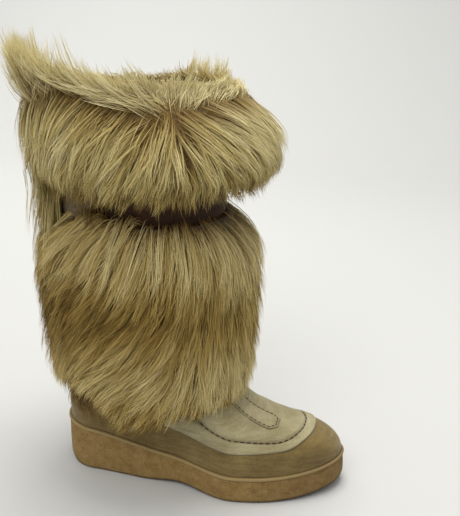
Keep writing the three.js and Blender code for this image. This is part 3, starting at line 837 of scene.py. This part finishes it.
def apron_thickness(point):
    x, y, z = point[..., 0], point[..., 1], point[..., 2]
    outer = margin(x, y, z, APRON_EDGE)
    inner = margin(x, y, z, PLUG_EDGE)
    edge = np.clip(outer / SKIVED_EDGE, 0, 1)
    rim = APRON_THICK * np.sqrt(1 - (1 - edge) ** 2)
    plug = (PLUG_THICK - APRON_THICK) * ease((inner + 0.2) / SKIVED_EDGE)
    relief = hill(inner, *GROOVE) + hill(inner, *PLUG_ROLL) + hill(inner, *RIM_ROLL)
    ripple = RIPPLE * np.sin(x * 0.31 + y * 0.13) * np.sin(y * 0.21 - x * 0.09) * ease(outer / 5)
    return np.maximum(rim + plug + relief * ease(outer / 3) + ripple, THINNEST)


def apron_seam_shadow(point):
    """Painted shadow lines of the apron: along its cut edge and in the groove round its plug."""
    x, y, z = point[..., 0], point[..., 1], point[..., 2]
    edge = EDGE_SHADE["share"] * (1 - ease(margin(x, y, z, APRON_EDGE) / EDGE_SHADE["width"]))
    return np.maximum(edge, hill(margin(x, y, z, PLUG_EDGE), *GROOVE_SHADE))


def overlay(name, top, under, lines, material, node):
    """A closed sheet between its top and its under side, with the painted shadow of its seams marked on the
    top.
    """
    across = len(top[0])
    points, faces = loft(np.concatenate([top, np.array(under)[:, ::-1]], axis=1))
    ends = []
    for start in (0, len(points) - 2 * across):
        upper_side = start + np.arange(across)
        under_side = start + 2 * across - 1 - np.arange(across)
        ends.append(np.stack([upper_side[:-1], under_side[:-1], under_side[1:], upper_side[1:]], -1))
    mesh = new_mesh(name, points, np.concatenate([faces] + ends))
    mark(mesh, "seam_and_shadow", np.concatenate([lines, np.zeros_like(lines)], axis=1))
    tidy(mesh)
    finished(placed(name, mesh, [material]), [node], OVERLAY_SHARP)


apron_end = SOLE_LENGTH - APRON_EDGE["toe_inset"]
apron_share = np.linspace(0, 1, APRON_COUNT)
apron_x = mix(APRON_BACK, apron_end - 0.05, np.sin(apron_share * np.pi / 2))
apron_top = []
apron_under = []
apron_lines = []
for x in apron_x:
    limits = edge_turns(x, APRON_EDGE, 0.0)
    if limits is None:
        continue
    turn = section_points(x, limits[0], limits[1], APRON_ACROSS)
    skin = foot_point(np.full_like(turn, x), turn, 0.0)
    apron_top.append(foot_point(np.full_like(turn, x), turn, LAY_GAP + apron_thickness(skin)))
    apron_under.append(foot_point(np.full_like(turn, x), turn, LAY_GAP))
    # Painted shadow along the apron's edge and in its groove
    apron_lines.append(apron_seam_shadow(skin))
overlay("apron_suede", apron_top, apron_under, apron_lines, SUEDE_PALE, "apron")


# Centre strip
def strip_half(x):
    tip = (x - STRIP["shoulder"]) / (STRIP["tip"] - STRIP["shoulder"])
    return mix(STRIP["half"], STRIP["tip_half"], np.clip(tip, 0, 1))


STRIP_SEAT = 2 * LAY_GAP + PLUG_THICK
strip_tops = []
strip_unders = []
strip_lines = []
for x in np.linspace(STRIP["back"], STRIP["tip"], STRIP_COUNT):
    to_end = min(STRIP["tip"] - x, x - STRIP["back"])
    half = strip_half(x)
    across = np.linspace(-1, 1, STRIP_ACROSS)
    inside = np.minimum(half * (1 - np.abs(across)), to_end)
    edge = np.clip(inside / STRIP_EDGE["width"], 0, 1)
    thick = mix(STRIP_EDGE["thick"], STRIP_THICK, np.sqrt(1 - (1 - edge) ** 2))
    seam_and_shadow = hill(inside, *STRIP_SEAM)
    y = STRIP["y"] + half * across
    level_x = np.full_like(y, x)
    top_z = foot_height(level_x, y, STRIP_SEAT + thick - seam_and_shadow)
    low_z = foot_height(level_x, y, STRIP_SEAT)
    strip_tops.append(np.stack([level_x, y, top_z], -1))
    strip_unders.append(np.stack([level_x, y, low_z], -1))
    # Painted shadow along the strip's edge and in its seam groove
    strip_lines.append(np.maximum(STRIP_EDGE["shade"] * (1 - ease(inside / EDGE_SHADE["width"])), seam_and_shadow))
overlay("strip_suede", strip_tops, strip_unders, strip_lines, SUEDE_STRIP, "centre_strip")


# Stitches
def even_path(path, spacing):
    run = run_along(path)
    at = np.arange(spacing / 2, run[-1], spacing / STITCH_STEPS)
    return np.stack([np.interp(at, run, path[:, i]) for i in range(3)], -1)


def stitches(path, spacing, radius, rise):
    """Short raised threads along a path, with a small gap between them, whose ends dip."""
    steps = even_path(path, spacing)
    angle = np.linspace(0, 2 * np.pi, STITCH_SIDES + 1)[None, :-1, None]
    t = np.linspace(0, 1, STITCH_STEPS - 1)
    thin = radius * (0.35 + 0.65 * np.sin(np.pi * t) ** 0.5)[:, None, None]
    points = []
    faces = []
    for start in range(0, len(steps) - STITCH_STEPS, STITCH_STEPS):
        line = steps[start:start + STITCH_STEPS - 1].copy()
        line[:, 2] += rise * (np.sin(np.pi * t) * 1.5 - 0.6)
        ahead = unit(np.gradient(line, axis=0))
        side = unit(np.cross(ahead, (0, 0, 1)))
        lift = np.cross(side, ahead)
        around = side[:, None] * np.cos(angle) + lift[:, None] * np.sin(angle)
        rows = line[:, None] + around * thin
        ends = np.repeat(line[[0, -1], None], STITCH_SIDES, axis=1)
        made, quads = loft(np.concatenate([ends[:1], rows, ends[1:]]))
        faces.append(quads + sum(len(p) for p in points))
        points.append(made)
    return np.concatenate(points), np.concatenate(faces)


def edge_path(edge, depth, seat):
    """Line on the apron that lies depth inside an edge, from the outer back round the toe."""
    outer = []
    inner = []
    for x in np.linspace(APRON_BACK + 2, apron_end, EDGE_STEPS):
        turns = edge_turns(x, edge, depth)
        if turns is None:
            break
        outer.append((x, turns[0]))
        inner.append((x, turns[1]))
    line = np.array(outer + inner[::-1])
    skin = foot_point(line[:, 0], line[:, 1], 0.0)
    return foot_point(line[:, 0], line[:, 1], LAY_GAP + apron_thickness(skin) + seat)


def stitched(name, path, style):
    mesh = new_mesh(name, *stitches(path, **style))
    tidy(mesh)
    finished(placed(name, mesh, [THREAD]))


stitched("apron_stitches", edge_path(PLUG_EDGE, GROOVE[1], 0.3), APRON_STITCH)
seam_inset = STRIP_SEAM[1]
side_x = np.linspace(STRIP["back"], STRIP["shoulder"], SEAM_SIDE_STEPS)
side_y = np.full_like(side_x, STRIP["y"] - STRIP["half"] + seam_inset)
tip_half = STRIP["tip_half"] - seam_inset
tip_y = STRIP["y"] + np.linspace(-tip_half, tip_half, SEAM_TIP_STEPS)
line_x = np.concatenate([side_x, np.full_like(tip_y, STRIP["tip"] - seam_inset), side_x[::-1]])
line_y = np.concatenate([side_y, tip_y, 2 * STRIP["y"] - side_y])
line_z = foot_height(line_x, line_y, STRIP_SEAT + STRIP_THICK - 0.2)
stitched("strip_stitches", np.column_stack([line_x, line_y, line_z]), STRIP_STITCH)

# Band
band_rows = []
for share, out in BAND_SIDE:
    z = mix(BAND["bottom"], BAND["top"], share)
    band_rows.append(ring_point(LEG, around_leg(2 * LEG_ROUND)[0], z, out))
solid("band_leather", band_rows, BAND_LEATHER, ["calf_band"])


# Fur
def wrapped(angle):
    return (angle + np.pi) % (2 * np.pi) - np.pi


def by_angle(angles, levels):
    return lambda angle: np.interp(np.degrees(wrapped(angle)), angles, levels)


def from_front(angle):
    return np.degrees(np.abs(wrapped(angle)))


parting = by_angle(PARTING_ANGLES, PARTING_LEVELS)
crown_angles, *crown_columns = zip(*CROWN_TABLE)
crown_curves = [by_angle(crown_angles, values) for values in crown_columns]
crown_roots, crown_tilt, crown_length, crown_lean, crown_tips = crown_curves


def fur_radius(table, angle, level):
    return np.hypot(column(table, 2, level) * np.sin(angle), column(table, 3, level) * np.cos(angle))


def shaft_flow(angle, level):
    """Unit direction of the lower hair: round the leg and up."""
    levels = [row[0] for row in LEAN]
    leans = np.stack([np.interp(from_front(angle), LEAN_ANGLES, row[1]) for row in LEAN])
    place = np.interp(level, levels, np.arange(len(levels)))
    low = np.clip(place.astype(int), 0, len(levels) - 2)
    pick = np.arange(len(place))
    lean = np.radians(mix(leans[low, pick], leans[low + 1, pick], place - low))
    return np.sign(wrapped(angle)) * np.sin(lean), -np.cos(lean)


def cuff_flow(angle, level):
    """The hair of the cuff leaves the whorl on all sides and falls."""
    away = wrapped(angle - WHORL["angle"]) * WHORL["reach"]
    drop = np.minimum(level - WHORL["level"], -2)
    reach = np.hypot(away, drop)
    pull = np.exp(-((away / WHORL["reach"]) ** 2))
    across = pull * away / reach
    up = pull * drop / reach - WHORL["fall"] - WHORL["far_fall"] * (1 - pull)
    size = np.hypot(across, up)
    return across / size, up / size


def crown_flow(angle, level):
    """Above the parting the hair lies over to the side of the whorl and turns up as it rises."""
    upright = CROWN_TURN["share"] * ease((level - parting(angle)) / CROWN_TURN["over"])
    tilt = np.radians(crown_tilt(angle)) * (1 - upright)
    return np.sin(tilt), np.cos(tilt)


def straight_up(angle, level):
    return np.zeros_like(angle), np.ones_like(angle)


def straight_down(angle, level):
    return np.zeros_like(angle), -np.ones_like(angle)


def comb(table, angle, level, length, flow, turn):
    """Walks each lock from its root along the flow, turned by its own angle."""
    angles = [angle]
    levels = [level]
    step = length / HAIR_STEPS
    for _ in range(HAIR_STEPS):
        across, up = flow(angle, level)
        round_leg = across * np.cos(turn) - up * np.sin(turn)
        rise = across * np.sin(turn) + up * np.cos(turn)
        angle = angle + round_leg * step / fur_radius(table, angle, level)
        level = level + rise * step
        angles.append(angle)
        levels.append(level)
    return np.stack(angles, 1), np.stack(levels, 1)


def roots(low, high, spacing):
    """Scattered roots round the leg between two levels that depend on the angle."""
    room = 2 * np.pi * FUR_RADIUS * FUR_TALLEST
    angle = random.uniform(-np.pi, np.pi, int(room / spacing**2))
    level = random.uniform(0, FUR_TALLEST, len(angle))
    bottom = low(angle)
    top = high(angle)
    keep = level < top - bottom
    return angle[keep], (bottom + level)[keep]


def grow(table, angle, level, length, flow, **style):
    """Locks of hair: paths of every strand, the way it faces, and its tone."""
    locks = len(angle)
    style = PLAIN_LOCK | style
    lying = [np.broadcast_to(style[word], locks)[:, None] for word in ("depth", "lift", "hump", "clump")]
    depth, lift, hump, clump = lying
    turn = random.normal(0, style["lean"], locks)
    angles, levels = comb(table, angle, level, length, flow, turn)
    t = np.linspace(0, 1, HAIR_STEPS + 1)[None, :]
    whole = np.ones(locks)
    if "tips" in style:
        limit = style["tips"](angles) + style["ragged"] * random.normal(0, 1, (locks, 1))
        room = (limit - levels) * np.sign(levels[:, -1:] - level[:, None])
        step = np.argmax(room < 0, axis=1)
        before = np.take_along_axis(room, np.maximum(step - 1, 0)[:, None], 1)[:, 0]
        after = np.take_along_axis(room, step[:, None], 1)[:, 0]
        crossed = (step - 1 + before / np.maximum(before - after, 1e-6)) / HAIR_STEPS
        whole = np.where((room < 0).any(axis=1), np.maximum(crossed, LOCK_SPREAD["shortest"]), 1)
    levels = levels + hump * np.sin(np.pi * t) * (1 - t)
    rounds = t * random.uniform(*LOCK_SPREAD["rounds"], (locks, 1)) + random.uniform(0, 1, (locks, 1))
    curl = random.normal(0, LOCK_SPREAD["curl"], (locks, 1))
    angles = angles + curl * np.sin(2 * np.pi * rounds) * t / FUR_RADIUS
    climb = depth + lift + random.normal(0, LOCK_SPREAD["lift"], (locks, 1))
    outs = -depth + climb * (1 - (1 - t) ** LOCK_SPREAD["rise"])
    rows = np.repeat(np.arange(locks), style["strands"])
    each = (len(rows), 1)
    aside = random.normal(0, LOCK_SPACING * STRAND_SPREAD["aside"], (len(rows), 2))
    loose = random.uniform(-STRAND_SPREAD["gather"], STRAND_SPREAD["gather"], each)
    gather = 1 - np.clip(clump[rows] + loose, 0, STRAND_SPREAD["most_gathered"]) * t
    stray = random.normal(0, STRAND_SPREAD["stray"], each) * t**2
    pick = t * random.uniform(*STRAND_SPREAD["length"], each) * whole[rows, None] * HAIR_STEPS
    low = np.minimum(pick.astype(int), HAIR_STEPS - 1)
    part = pick - low
    row = rows[:, None]
    angles = mix(angles[row, low], angles[row, low + 1], part) + (aside[:, :1] * gather + stray) / FUR_RADIUS
    levels = mix(levels[row, low], levels[row, low + 1], part) + aside[:, 1:] * gather
    deeper = random.normal(0, STRAND_SPREAD["depth"], each) * (0.3 + t)
    outs = mix(outs[row, low], outs[row, low + 1], part) + deeper
    paths = ring_point(table, angles, levels, outs)
    outward = unit(np.stack([np.cos(angles), np.sin(angles), np.full_like(angles, 0.15)], -1))
    tones = 0.5 + (random.normal(0, LOCK_SPREAD["tone"], locks) + style["tone"])[rows]
    tones = tones + random.normal(0, STRAND_SPREAD["tone"], len(rows))
    return paths, outward, np.clip(tones, 0.02, 0.98)


def ribbons(paths, outward, tones):
    """Tapered strips along the strands, with their map: tone across and root to tip up."""
    ahead = unit(np.gradient(paths, axis=1))
    flat = unit(np.cross(ahead, outward))
    facing = np.cross(flat, ahead)
    twist = random.normal(0, STRAND_SPREAD["twist"], (len(paths), 1, 1))
    across = flat * np.cos(twist) + facing * np.sin(twist)
    widths = HAIR_WIDTH * random.uniform(*STRAND_SPREAD["width"], (len(paths), 1, 1))
    half = widths * STRAND_PROFILE[None, :, None] / 2
    left = paths - across * half
    right = paths + across * half
    body = np.stack([left[:, :-1], right[:, :-1]], 2).reshape(len(paths), 2 * HAIR_STEPS, 3)
    points = np.concatenate([body, paths[:, -1:]], 1)
    each = points.shape[1]
    strip = []
    for i in range(HAIR_STEPS - 1):
        strip += [(2 * i, 2 * i + 1, 2 * i + 3), (2 * i, 2 * i + 3, 2 * i + 2)]
    strip.append((2 * HAIR_STEPS - 2, 2 * HAIR_STEPS - 1, 2 * HAIR_STEPS))
    faces = (np.arange(len(paths))[:, None, None] * each + np.array(strip)[None]).reshape(-1, 3)
    way = np.append(np.repeat(np.arange(HAIR_STEPS), 2), HAIR_STEPS) / HAIR_STEPS
    uv = np.stack([np.repeat(tones, each), np.tile(way, len(paths))], -1)
    return points.reshape(-1, 3), faces, uv


def fur_piece(name, batches, material, nodes):
    """One piece of fur from several batches of strands."""
    points = []
    faces = []
    maps = []
    total = 0
    for batch in batches:
        made, triangles, uv = ribbons(*batch)
        points.append(made)
        faces.append(triangles + total)
        maps.append(uv)
        total += len(made)
    faces = np.concatenate(faces)
    mesh = new_mesh(name, np.concatenate(points), faces)
    layer = mesh.uv_layers.new(name="OFBake")
    layer.data.foreach_set("uv", np.concatenate(maps)[faces.ravel()].ravel().astype(np.float32))
    finished(placed(name, mesh, [material]), nodes)


def hem_level(angle):
    return np.interp(from_front(angle), HEM_ANGLES, HEM_TIPS)


def part_of(batch, keep):
    return tuple(values[keep] for values in batch)


def coat_waves(angle, level):
    """Slow swells of the coat, from -1 to 1, a few centimetres across."""
    broad = np.sin(7 * angle + 0.07 * level + 1.3) * np.sin(11 * angle - 0.1 * level + 0.4)
    fine = np.sin(19 * angle + 0.16 * level) * np.sin(13 * angle - 0.21 * level + 2.1)
    return 0.65 * broad + 0.45 * fine


def shaft_rise(angle):
    """The lower hair rises over the band's edge at the sides, and least at the back."""
    return np.interp(from_front(angle), RISE_ANGLES, RISE)


def patch(place, spacing, away):
    """Scattered roots where the angle is near enough to a place on the leg."""
    def top(angle):
        return np.where(np.abs(away(angle)) < place["half"], place["high"], 0.0)

    return roots(level_at(place["low"]), top, spacing)


# The lower sleeve, with painted light where it bulges at the top and painted shade in the middle and at its
# hem
shaft_angle, shaft_level = roots(
    lambda a: hem_level(a) + SHAFT_ROOTS["above_hem"],
    lambda a: SHAFT_ROOTS["top"] + SHAFT_ROOTS["rise"] * shaft_rise(a), LOCK_SPACING,
)
shaft_drift = shaft_level + TONE_DRIFT * np.sin(2 * shaft_angle + 0.6)
shaft_light_and_shade = hill(shaft_level, *SHAFT_TOP_LIGHT) + hill(shaft_drift, *SHAFT_MIDDLE_SHADE)
shaft_light_and_shade += hill(shaft_drift, *SHAFT_FOOT_LIGHT) + hill(wrapped(shaft_angle), *SHAFT_FRONT_LIGHT)
above_hem = shaft_level - hem_level(shaft_angle) - SHAFT_ROOTS["above_hem"]
at_hem = 1 - ease(above_hem / SHAFT_ROOTS["hem_band"])
shaft_light_and_shade -= at_hem * (HEM_SHADE + hill(np.abs(wrapped(shaft_angle)), *SHAFT_HEEL_SHADE))
shaft_swell = coat_waves(shaft_angle, shaft_level)
shaft_batch = grow(
    SHAFT_FUR, shaft_angle, shaft_level, random.normal(*SHAFT_LOCK, len(shaft_angle)), shaft_flow,
    tips=hem_level, ragged=2.5 + 4 * at_hem[:, None], clump=0.74 + 0.18 * at_hem,
    # Painted light: swells of the coat that stand further out are coloured lighter
    tone=shaft_light_and_shade + 0.13 * shaft_swell, lift=3.0 + 3.0 * shaft_swell,
    hump=HUMP["height"] * shaft_rise(shaft_angle) * ease((shaft_level - HUMP["from"]) / HUMP["over"]),
)

# Thin guard hairs over the bare place above the heel, painted dark as the shade under the hem
guard_angle, guard_level = patch(GUARD, GUARD_SPACING, lambda a: np.abs(wrapped(a)) - GUARD["angle"])
guard_batch = grow(
    SHAFT_FUR, guard_angle, guard_level, random.normal(*GUARD_LOCK, len(guard_angle)), shaft_flow,
    strands=7, depth=10.0, lift=-3.0, tone=-0.42, lean=0.3, clump=0.5,
)

# The cuff: hair that falls from the whorl and the parting
cuff_angle, cuff_level = roots(level_at(CUFF_ROOTS), lambda a: parting(a) + 1, LOCK_SPACING)
cuff_swell = coat_waves(cuff_angle, cuff_level)
cuff_crease = hill(cuff_level, 1, parting(cuff_angle), CREASE["spread"])
cuff_crease *= hill(np.degrees(cuff_angle), 1, CREASE["angle"], CREASE["angle_spread"])
# Painted light over the cuff's middle tone: lighter the higher the roots, as light from above, and lighter
# on the front outer side that faces the key light
cuff_tone_and_light = CUFF_TONE_AND_LIGHT["middle"] + CUFF_TONE_AND_LIGHT["slope"] * (cuff_level - CUFF_TONE_AND_LIGHT["level"])
cuff_tone_and_light += 0.1 * np.sin(cuff_angle + 2.3)
cuff_layer = CUFF_LAYER["rise"] * ease((cuff_level - CUFF_LAYER["from"]) / CUFF_LAYER["over"])[:, None]
cuff_near = ease((cuff_level - parting(cuff_angle) + CUFF_DEPTH["below"]) / CUFF_DEPTH["over"])
cuff_batch = grow(
    CUFF_FUR, cuff_angle, cuff_level, random.normal(*CUFF_LOCK, len(cuff_angle)), cuff_flow,
    depth=CUFF_DEPTH["deep"] - CUFF_DEPTH["less"] * cuff_near * (1 - 0.5 * cuff_crease),
    tips=lambda a: CUFF_TIPS + cuff_layer + 0 * a, ragged=3.5, lift=4.0 + 2.5 * cuff_swell,
    # Painted shade in the crease below the parting, and painted light on the swells of the coat
    tone=cuff_tone_and_light - 0.5 * cuff_crease + 0.08 * cuff_swell,
)

# The crown above the parting, with the wild tuft at the back, both paler: partly their own colour, partly
# painted light from above
crown_angle, crown_level = roots(lambda a: parting(a) - 1, crown_roots, CROWN_SPACING)
crown_batch = grow(
    CUFF_FUR, crown_angle, crown_level,
    crown_length(crown_angle) * random.normal(1, 0.22, len(crown_angle)), crown_flow,
    lean=0.26, depth=9.0, lift=crown_lean(crown_angle), tips=crown_tips, ragged=5.0, tone=0.48,
)
tuft_angle = np.radians(random.normal(TUFT["angle"], TUFT["spread"], TUFT["locks"]))
tuft_level = random.uniform(TUFT["low"], TUFT["high"], TUFT["locks"])
tuft_batch = grow(
    CUFF_FUR, tuft_angle, tuft_level, random.normal(*TUFT_LOCK, TUFT["locks"]), straight_up,
    lean=0.3, depth=8.0, lift=random.uniform(-2, TUFT["splay"], TUFT["locks"]),
    tips=level_at(TUFT["tips"]), ragged=5.0, tone=0.46, clump=0.6,
)

# Short pale hair on the bank between the crown and the collar, combed inwards
bank_angle = random.uniform(-np.pi, np.pi, BANK_LOCKS)
bank_share = random.uniform(0, 1, BANK_LOCKS)
bank_outside = ring_point(CUFF_FUR, bank_angle, BANK_LEVEL, 0.0)
bank_inside = ring_point(LEG, bank_angle, BANK_LEVEL, 0.0)
bank_width = np.linalg.norm(bank_outside - bank_inside, axis=-1)
bank_depth = mix(8.0, bank_width - 2, bank_share)
bank_level = mix(crown_roots(bank_angle) - 4, COLLAR_HEIGHT - 2, bank_share)
bank_batch = grow(
    CUFF_FUR, bank_angle, bank_level, random.normal(*BANK_LOCK, BANK_LOCKS), straight_up,
    lean=0.8, depth=bank_depth, lift=-bank_depth - 5, tone=0.36, tips=crown_tips, clump=0.4,
)

# A long fringe that hangs from the back of the cuff over the band
fringe_angle, fringe_level = patch(FRINGE, LOCK_SPACING, lambda a: wrapped(a - FRINGE["angle"]))
fringe_batch = grow(
    CUFF_FUR, fringe_angle, fringe_level, random.normal(*FRINGE_LOCK, len(fringe_angle)), straight_down,
    depth=10.0, lift=random.uniform(-4, 21, len(fringe_angle)), tone=0.2, lean=0.06,
)

# Hair deep under the cuff, behind the fringe, painted dark as the shade under the cuff
shade_angle, shade_level = patch(SHADE, LOCK_SPACING, lambda a: wrapped(a - SHADE["angle"]))
shade_batch = grow(
    CUFF_FUR, shade_angle, shade_level, random.normal(*SHADE_LOCK, len(shade_angle)), straight_down,
    depth=22.0, lift=random.uniform(-24, -8, len(shade_angle)), tone=-0.46, lean=0.12, clump=0.5,
)

for end, ahead in (("front", True), ("back", False)):
    for side, outer in (("outer", True), ("inner", False)):
        batches = []
        for batch in (shaft_batch, guard_batch):
            start = batch[0][:, 0]
            keep = ((start[:, 0] > LEG_MIDDLE) == ahead) & ((start[:, 1] < 0) == outer)
            batches.append(part_of(batch, keep))
        fur_piece(f"shaft_hair_{side}_{end}", batches, FUR_SHAFT, ["shaft_fur"])
cuff_batches = (cuff_batch, crown_batch, tuft_batch, bank_batch, fringe_batch, shade_batch)
for side, outer in (("outer", True), ("inner", False)):
    batches = [part_of(b, (b[0][:, 0, 1] < 0) == outer) for b in cuff_batches]
    fur_piece("cuff_hair_" + side, batches, FUR_CUFF, ["cuff_fur"])

# Short pile inside the mouth of the boot
mouth_angle, mouth_level = roots(level_at(MOUTH["low"]), level_at(MOUTH["high"]), MOUTH_SPACING)
mouth_batch = grow(
    LEG, mouth_angle, mouth_level, random.normal(*MOUTH_LOCK, len(mouth_angle)), straight_up,
    strands=6, depth=5.0, lift=-11.0, tone=0.12, lean=0.9,
)
fur_piece("mouth_pile", [mouth_batch], FUR_CUFF, [])


# Underwool
def wool(name, table, bottom, top, inner_top):
    """Closed sleeve under the hair, from the pelt on the leg to the roots of the hair."""
    angle = around_leg(LEG_ROUND)
    rise = np.linspace(0, 1, WOOL_COUNT)[:, None]
    outside = mix(bottom(angle), top(angle), rise)
    inside = mix(bottom(angle), np.minimum(top(angle), inner_top), rise)
    angle = np.broadcast_to(angle, outside.shape)
    ragged = 1.2 * np.sin(angle * 17 + outside * 0.11) * np.sin(angle * 29 - outside * 0.2)
    outer = ring_point(table, angle, outside, ragged - WOOL["depth"])
    pelt = ring_point(LEG, angle, inside, WOOL["seat"])
    hung = ring_point(table, angle, inside, -WOOL["depth"] - WOOL["thick"])
    inner = mix(hung, pelt, ease((inside - WOOL["seat_from"]) / WOOL["seat_over"])[..., None])
    rows = np.concatenate([outer, inner[::-1], outer[:1]])
    solid(name, rows, FUR_BASE)


def cuff_wool_bottom(angle):
    """The wool of the cuff hangs lower behind the fringe, a dark sheet that fills the shade under the cuff
    there.
    """
    away = wrapped(angle - CUFF_WOOL["angle"]) / CUFF_WOOL["half"]
    return CUFF_WOOL["bottom"] - CUFF_WOOL["drop"] * np.exp(-(away**4))


wool(
    "shaft_underwool", SHAFT_FUR, lambda a: hem_level(a) + SHAFT_WOOL["above_hem"],
    level_at(SHAFT_WOOL["top"]), SHAFT_WOOL["top"],
)
wool(
    "cuff_underwool", CUFF_FUR, cuff_wool_bottom,
    lambda a: crown_roots(a) - 2, COLLAR_HEIGHT - 1,
)

# Floor, light and camera
curve = np.linspace(0.08, math.pi / 2, BACKDROP_STEPS)
radius = FLOOR["radius"]
profile = [(FLOOR["near"], 0.0), (FLOOR["curve"], 0.0)]
profile += [(FLOOR["curve"] + radius * math.sin(a), radius - radius * math.cos(a)) for a in curve]
profile += [(FLOOR["curve"] + radius, FLOOR["height"])]
floor_points = [(x, y, z) for y, z in profile for x in (-FLOOR["half"], FLOOR["half"])]
floor_faces = [(2 * i, 2 * i + 1, 2 * i + 3, 2 * i + 2) for i in range(len(profile) - 1)]
floor_mesh = bpy.data.meshes.new("studio_floor")
floor_mesh.from_pydata(floor_points, [], floor_faces)
floor_mesh.shade_smooth()
floor_shader = Shader("studio_paper", 0.9, 0.1)
floor_shader.surface.inputs["Base Color"].default_value = FLOOR_COLOUR
placed("studio_floor", floor_mesh, [floor_shader.material])


def softbox(name, place, aim, size, power_watts, colour):
    lamp = bpy.data.lights.new(name, "AREA")
    lamp.size = size
    lamp.energy = power_watts
    lamp.color = colour
    made = bpy.data.objects.new(name, lamp)
    made.location = place
    made.rotation_euler = (Vector(aim) - Vector(place)).to_track_quat("-Z", "Y").to_euler()
    bpy.context.scene.collection.objects.link(made)


for name, settings in SOFTBOXES.items():
    softbox(name, *settings)

world = bpy.data.worlds.new("studio")
world.use_nodes = True
sky = world.node_tree
direction = sky.nodes.new("ShaderNodeTexCoord").outputs["Generated"]
split = sky.nodes.new("ShaderNodeSeparateXYZ")
sky.links.new(direction, split.inputs["Vector"])
dome = sky.nodes.new("ShaderNodeValToRGB")
dome.color_ramp.elements[0].color = DOME_HORIZON
dome.color_ramp.elements[1].color = DOME_TOP
sky.links.new(split.outputs["Z"], dome.inputs["Fac"])
sky.links.new(dome.outputs["Color"], sky.nodes["Background"].inputs["Color"])
bpy.context.scene.world = world
bpy.context.scene.view_settings.view_transform = "Standard"

camera_place = Vector(to_frame(CAMERA_PLACE))
camera_aim = Vector(to_frame(CAMERA_AIM))
lens = bpy.data.cameras.new("camera")
lens.sensor_width = 36.0
lens.lens = CAMERA_LENS
lens.clip_start = 0.01
camera = bpy.data.objects.new("camera", lens)
camera.location = camera_place
camera.rotation_euler = (camera_aim - camera_place).to_track_quat("-Z", "Y").to_euler()
bpy.context.scene.collection.objects.link(camera)
bpy.context.scene.camera = camera
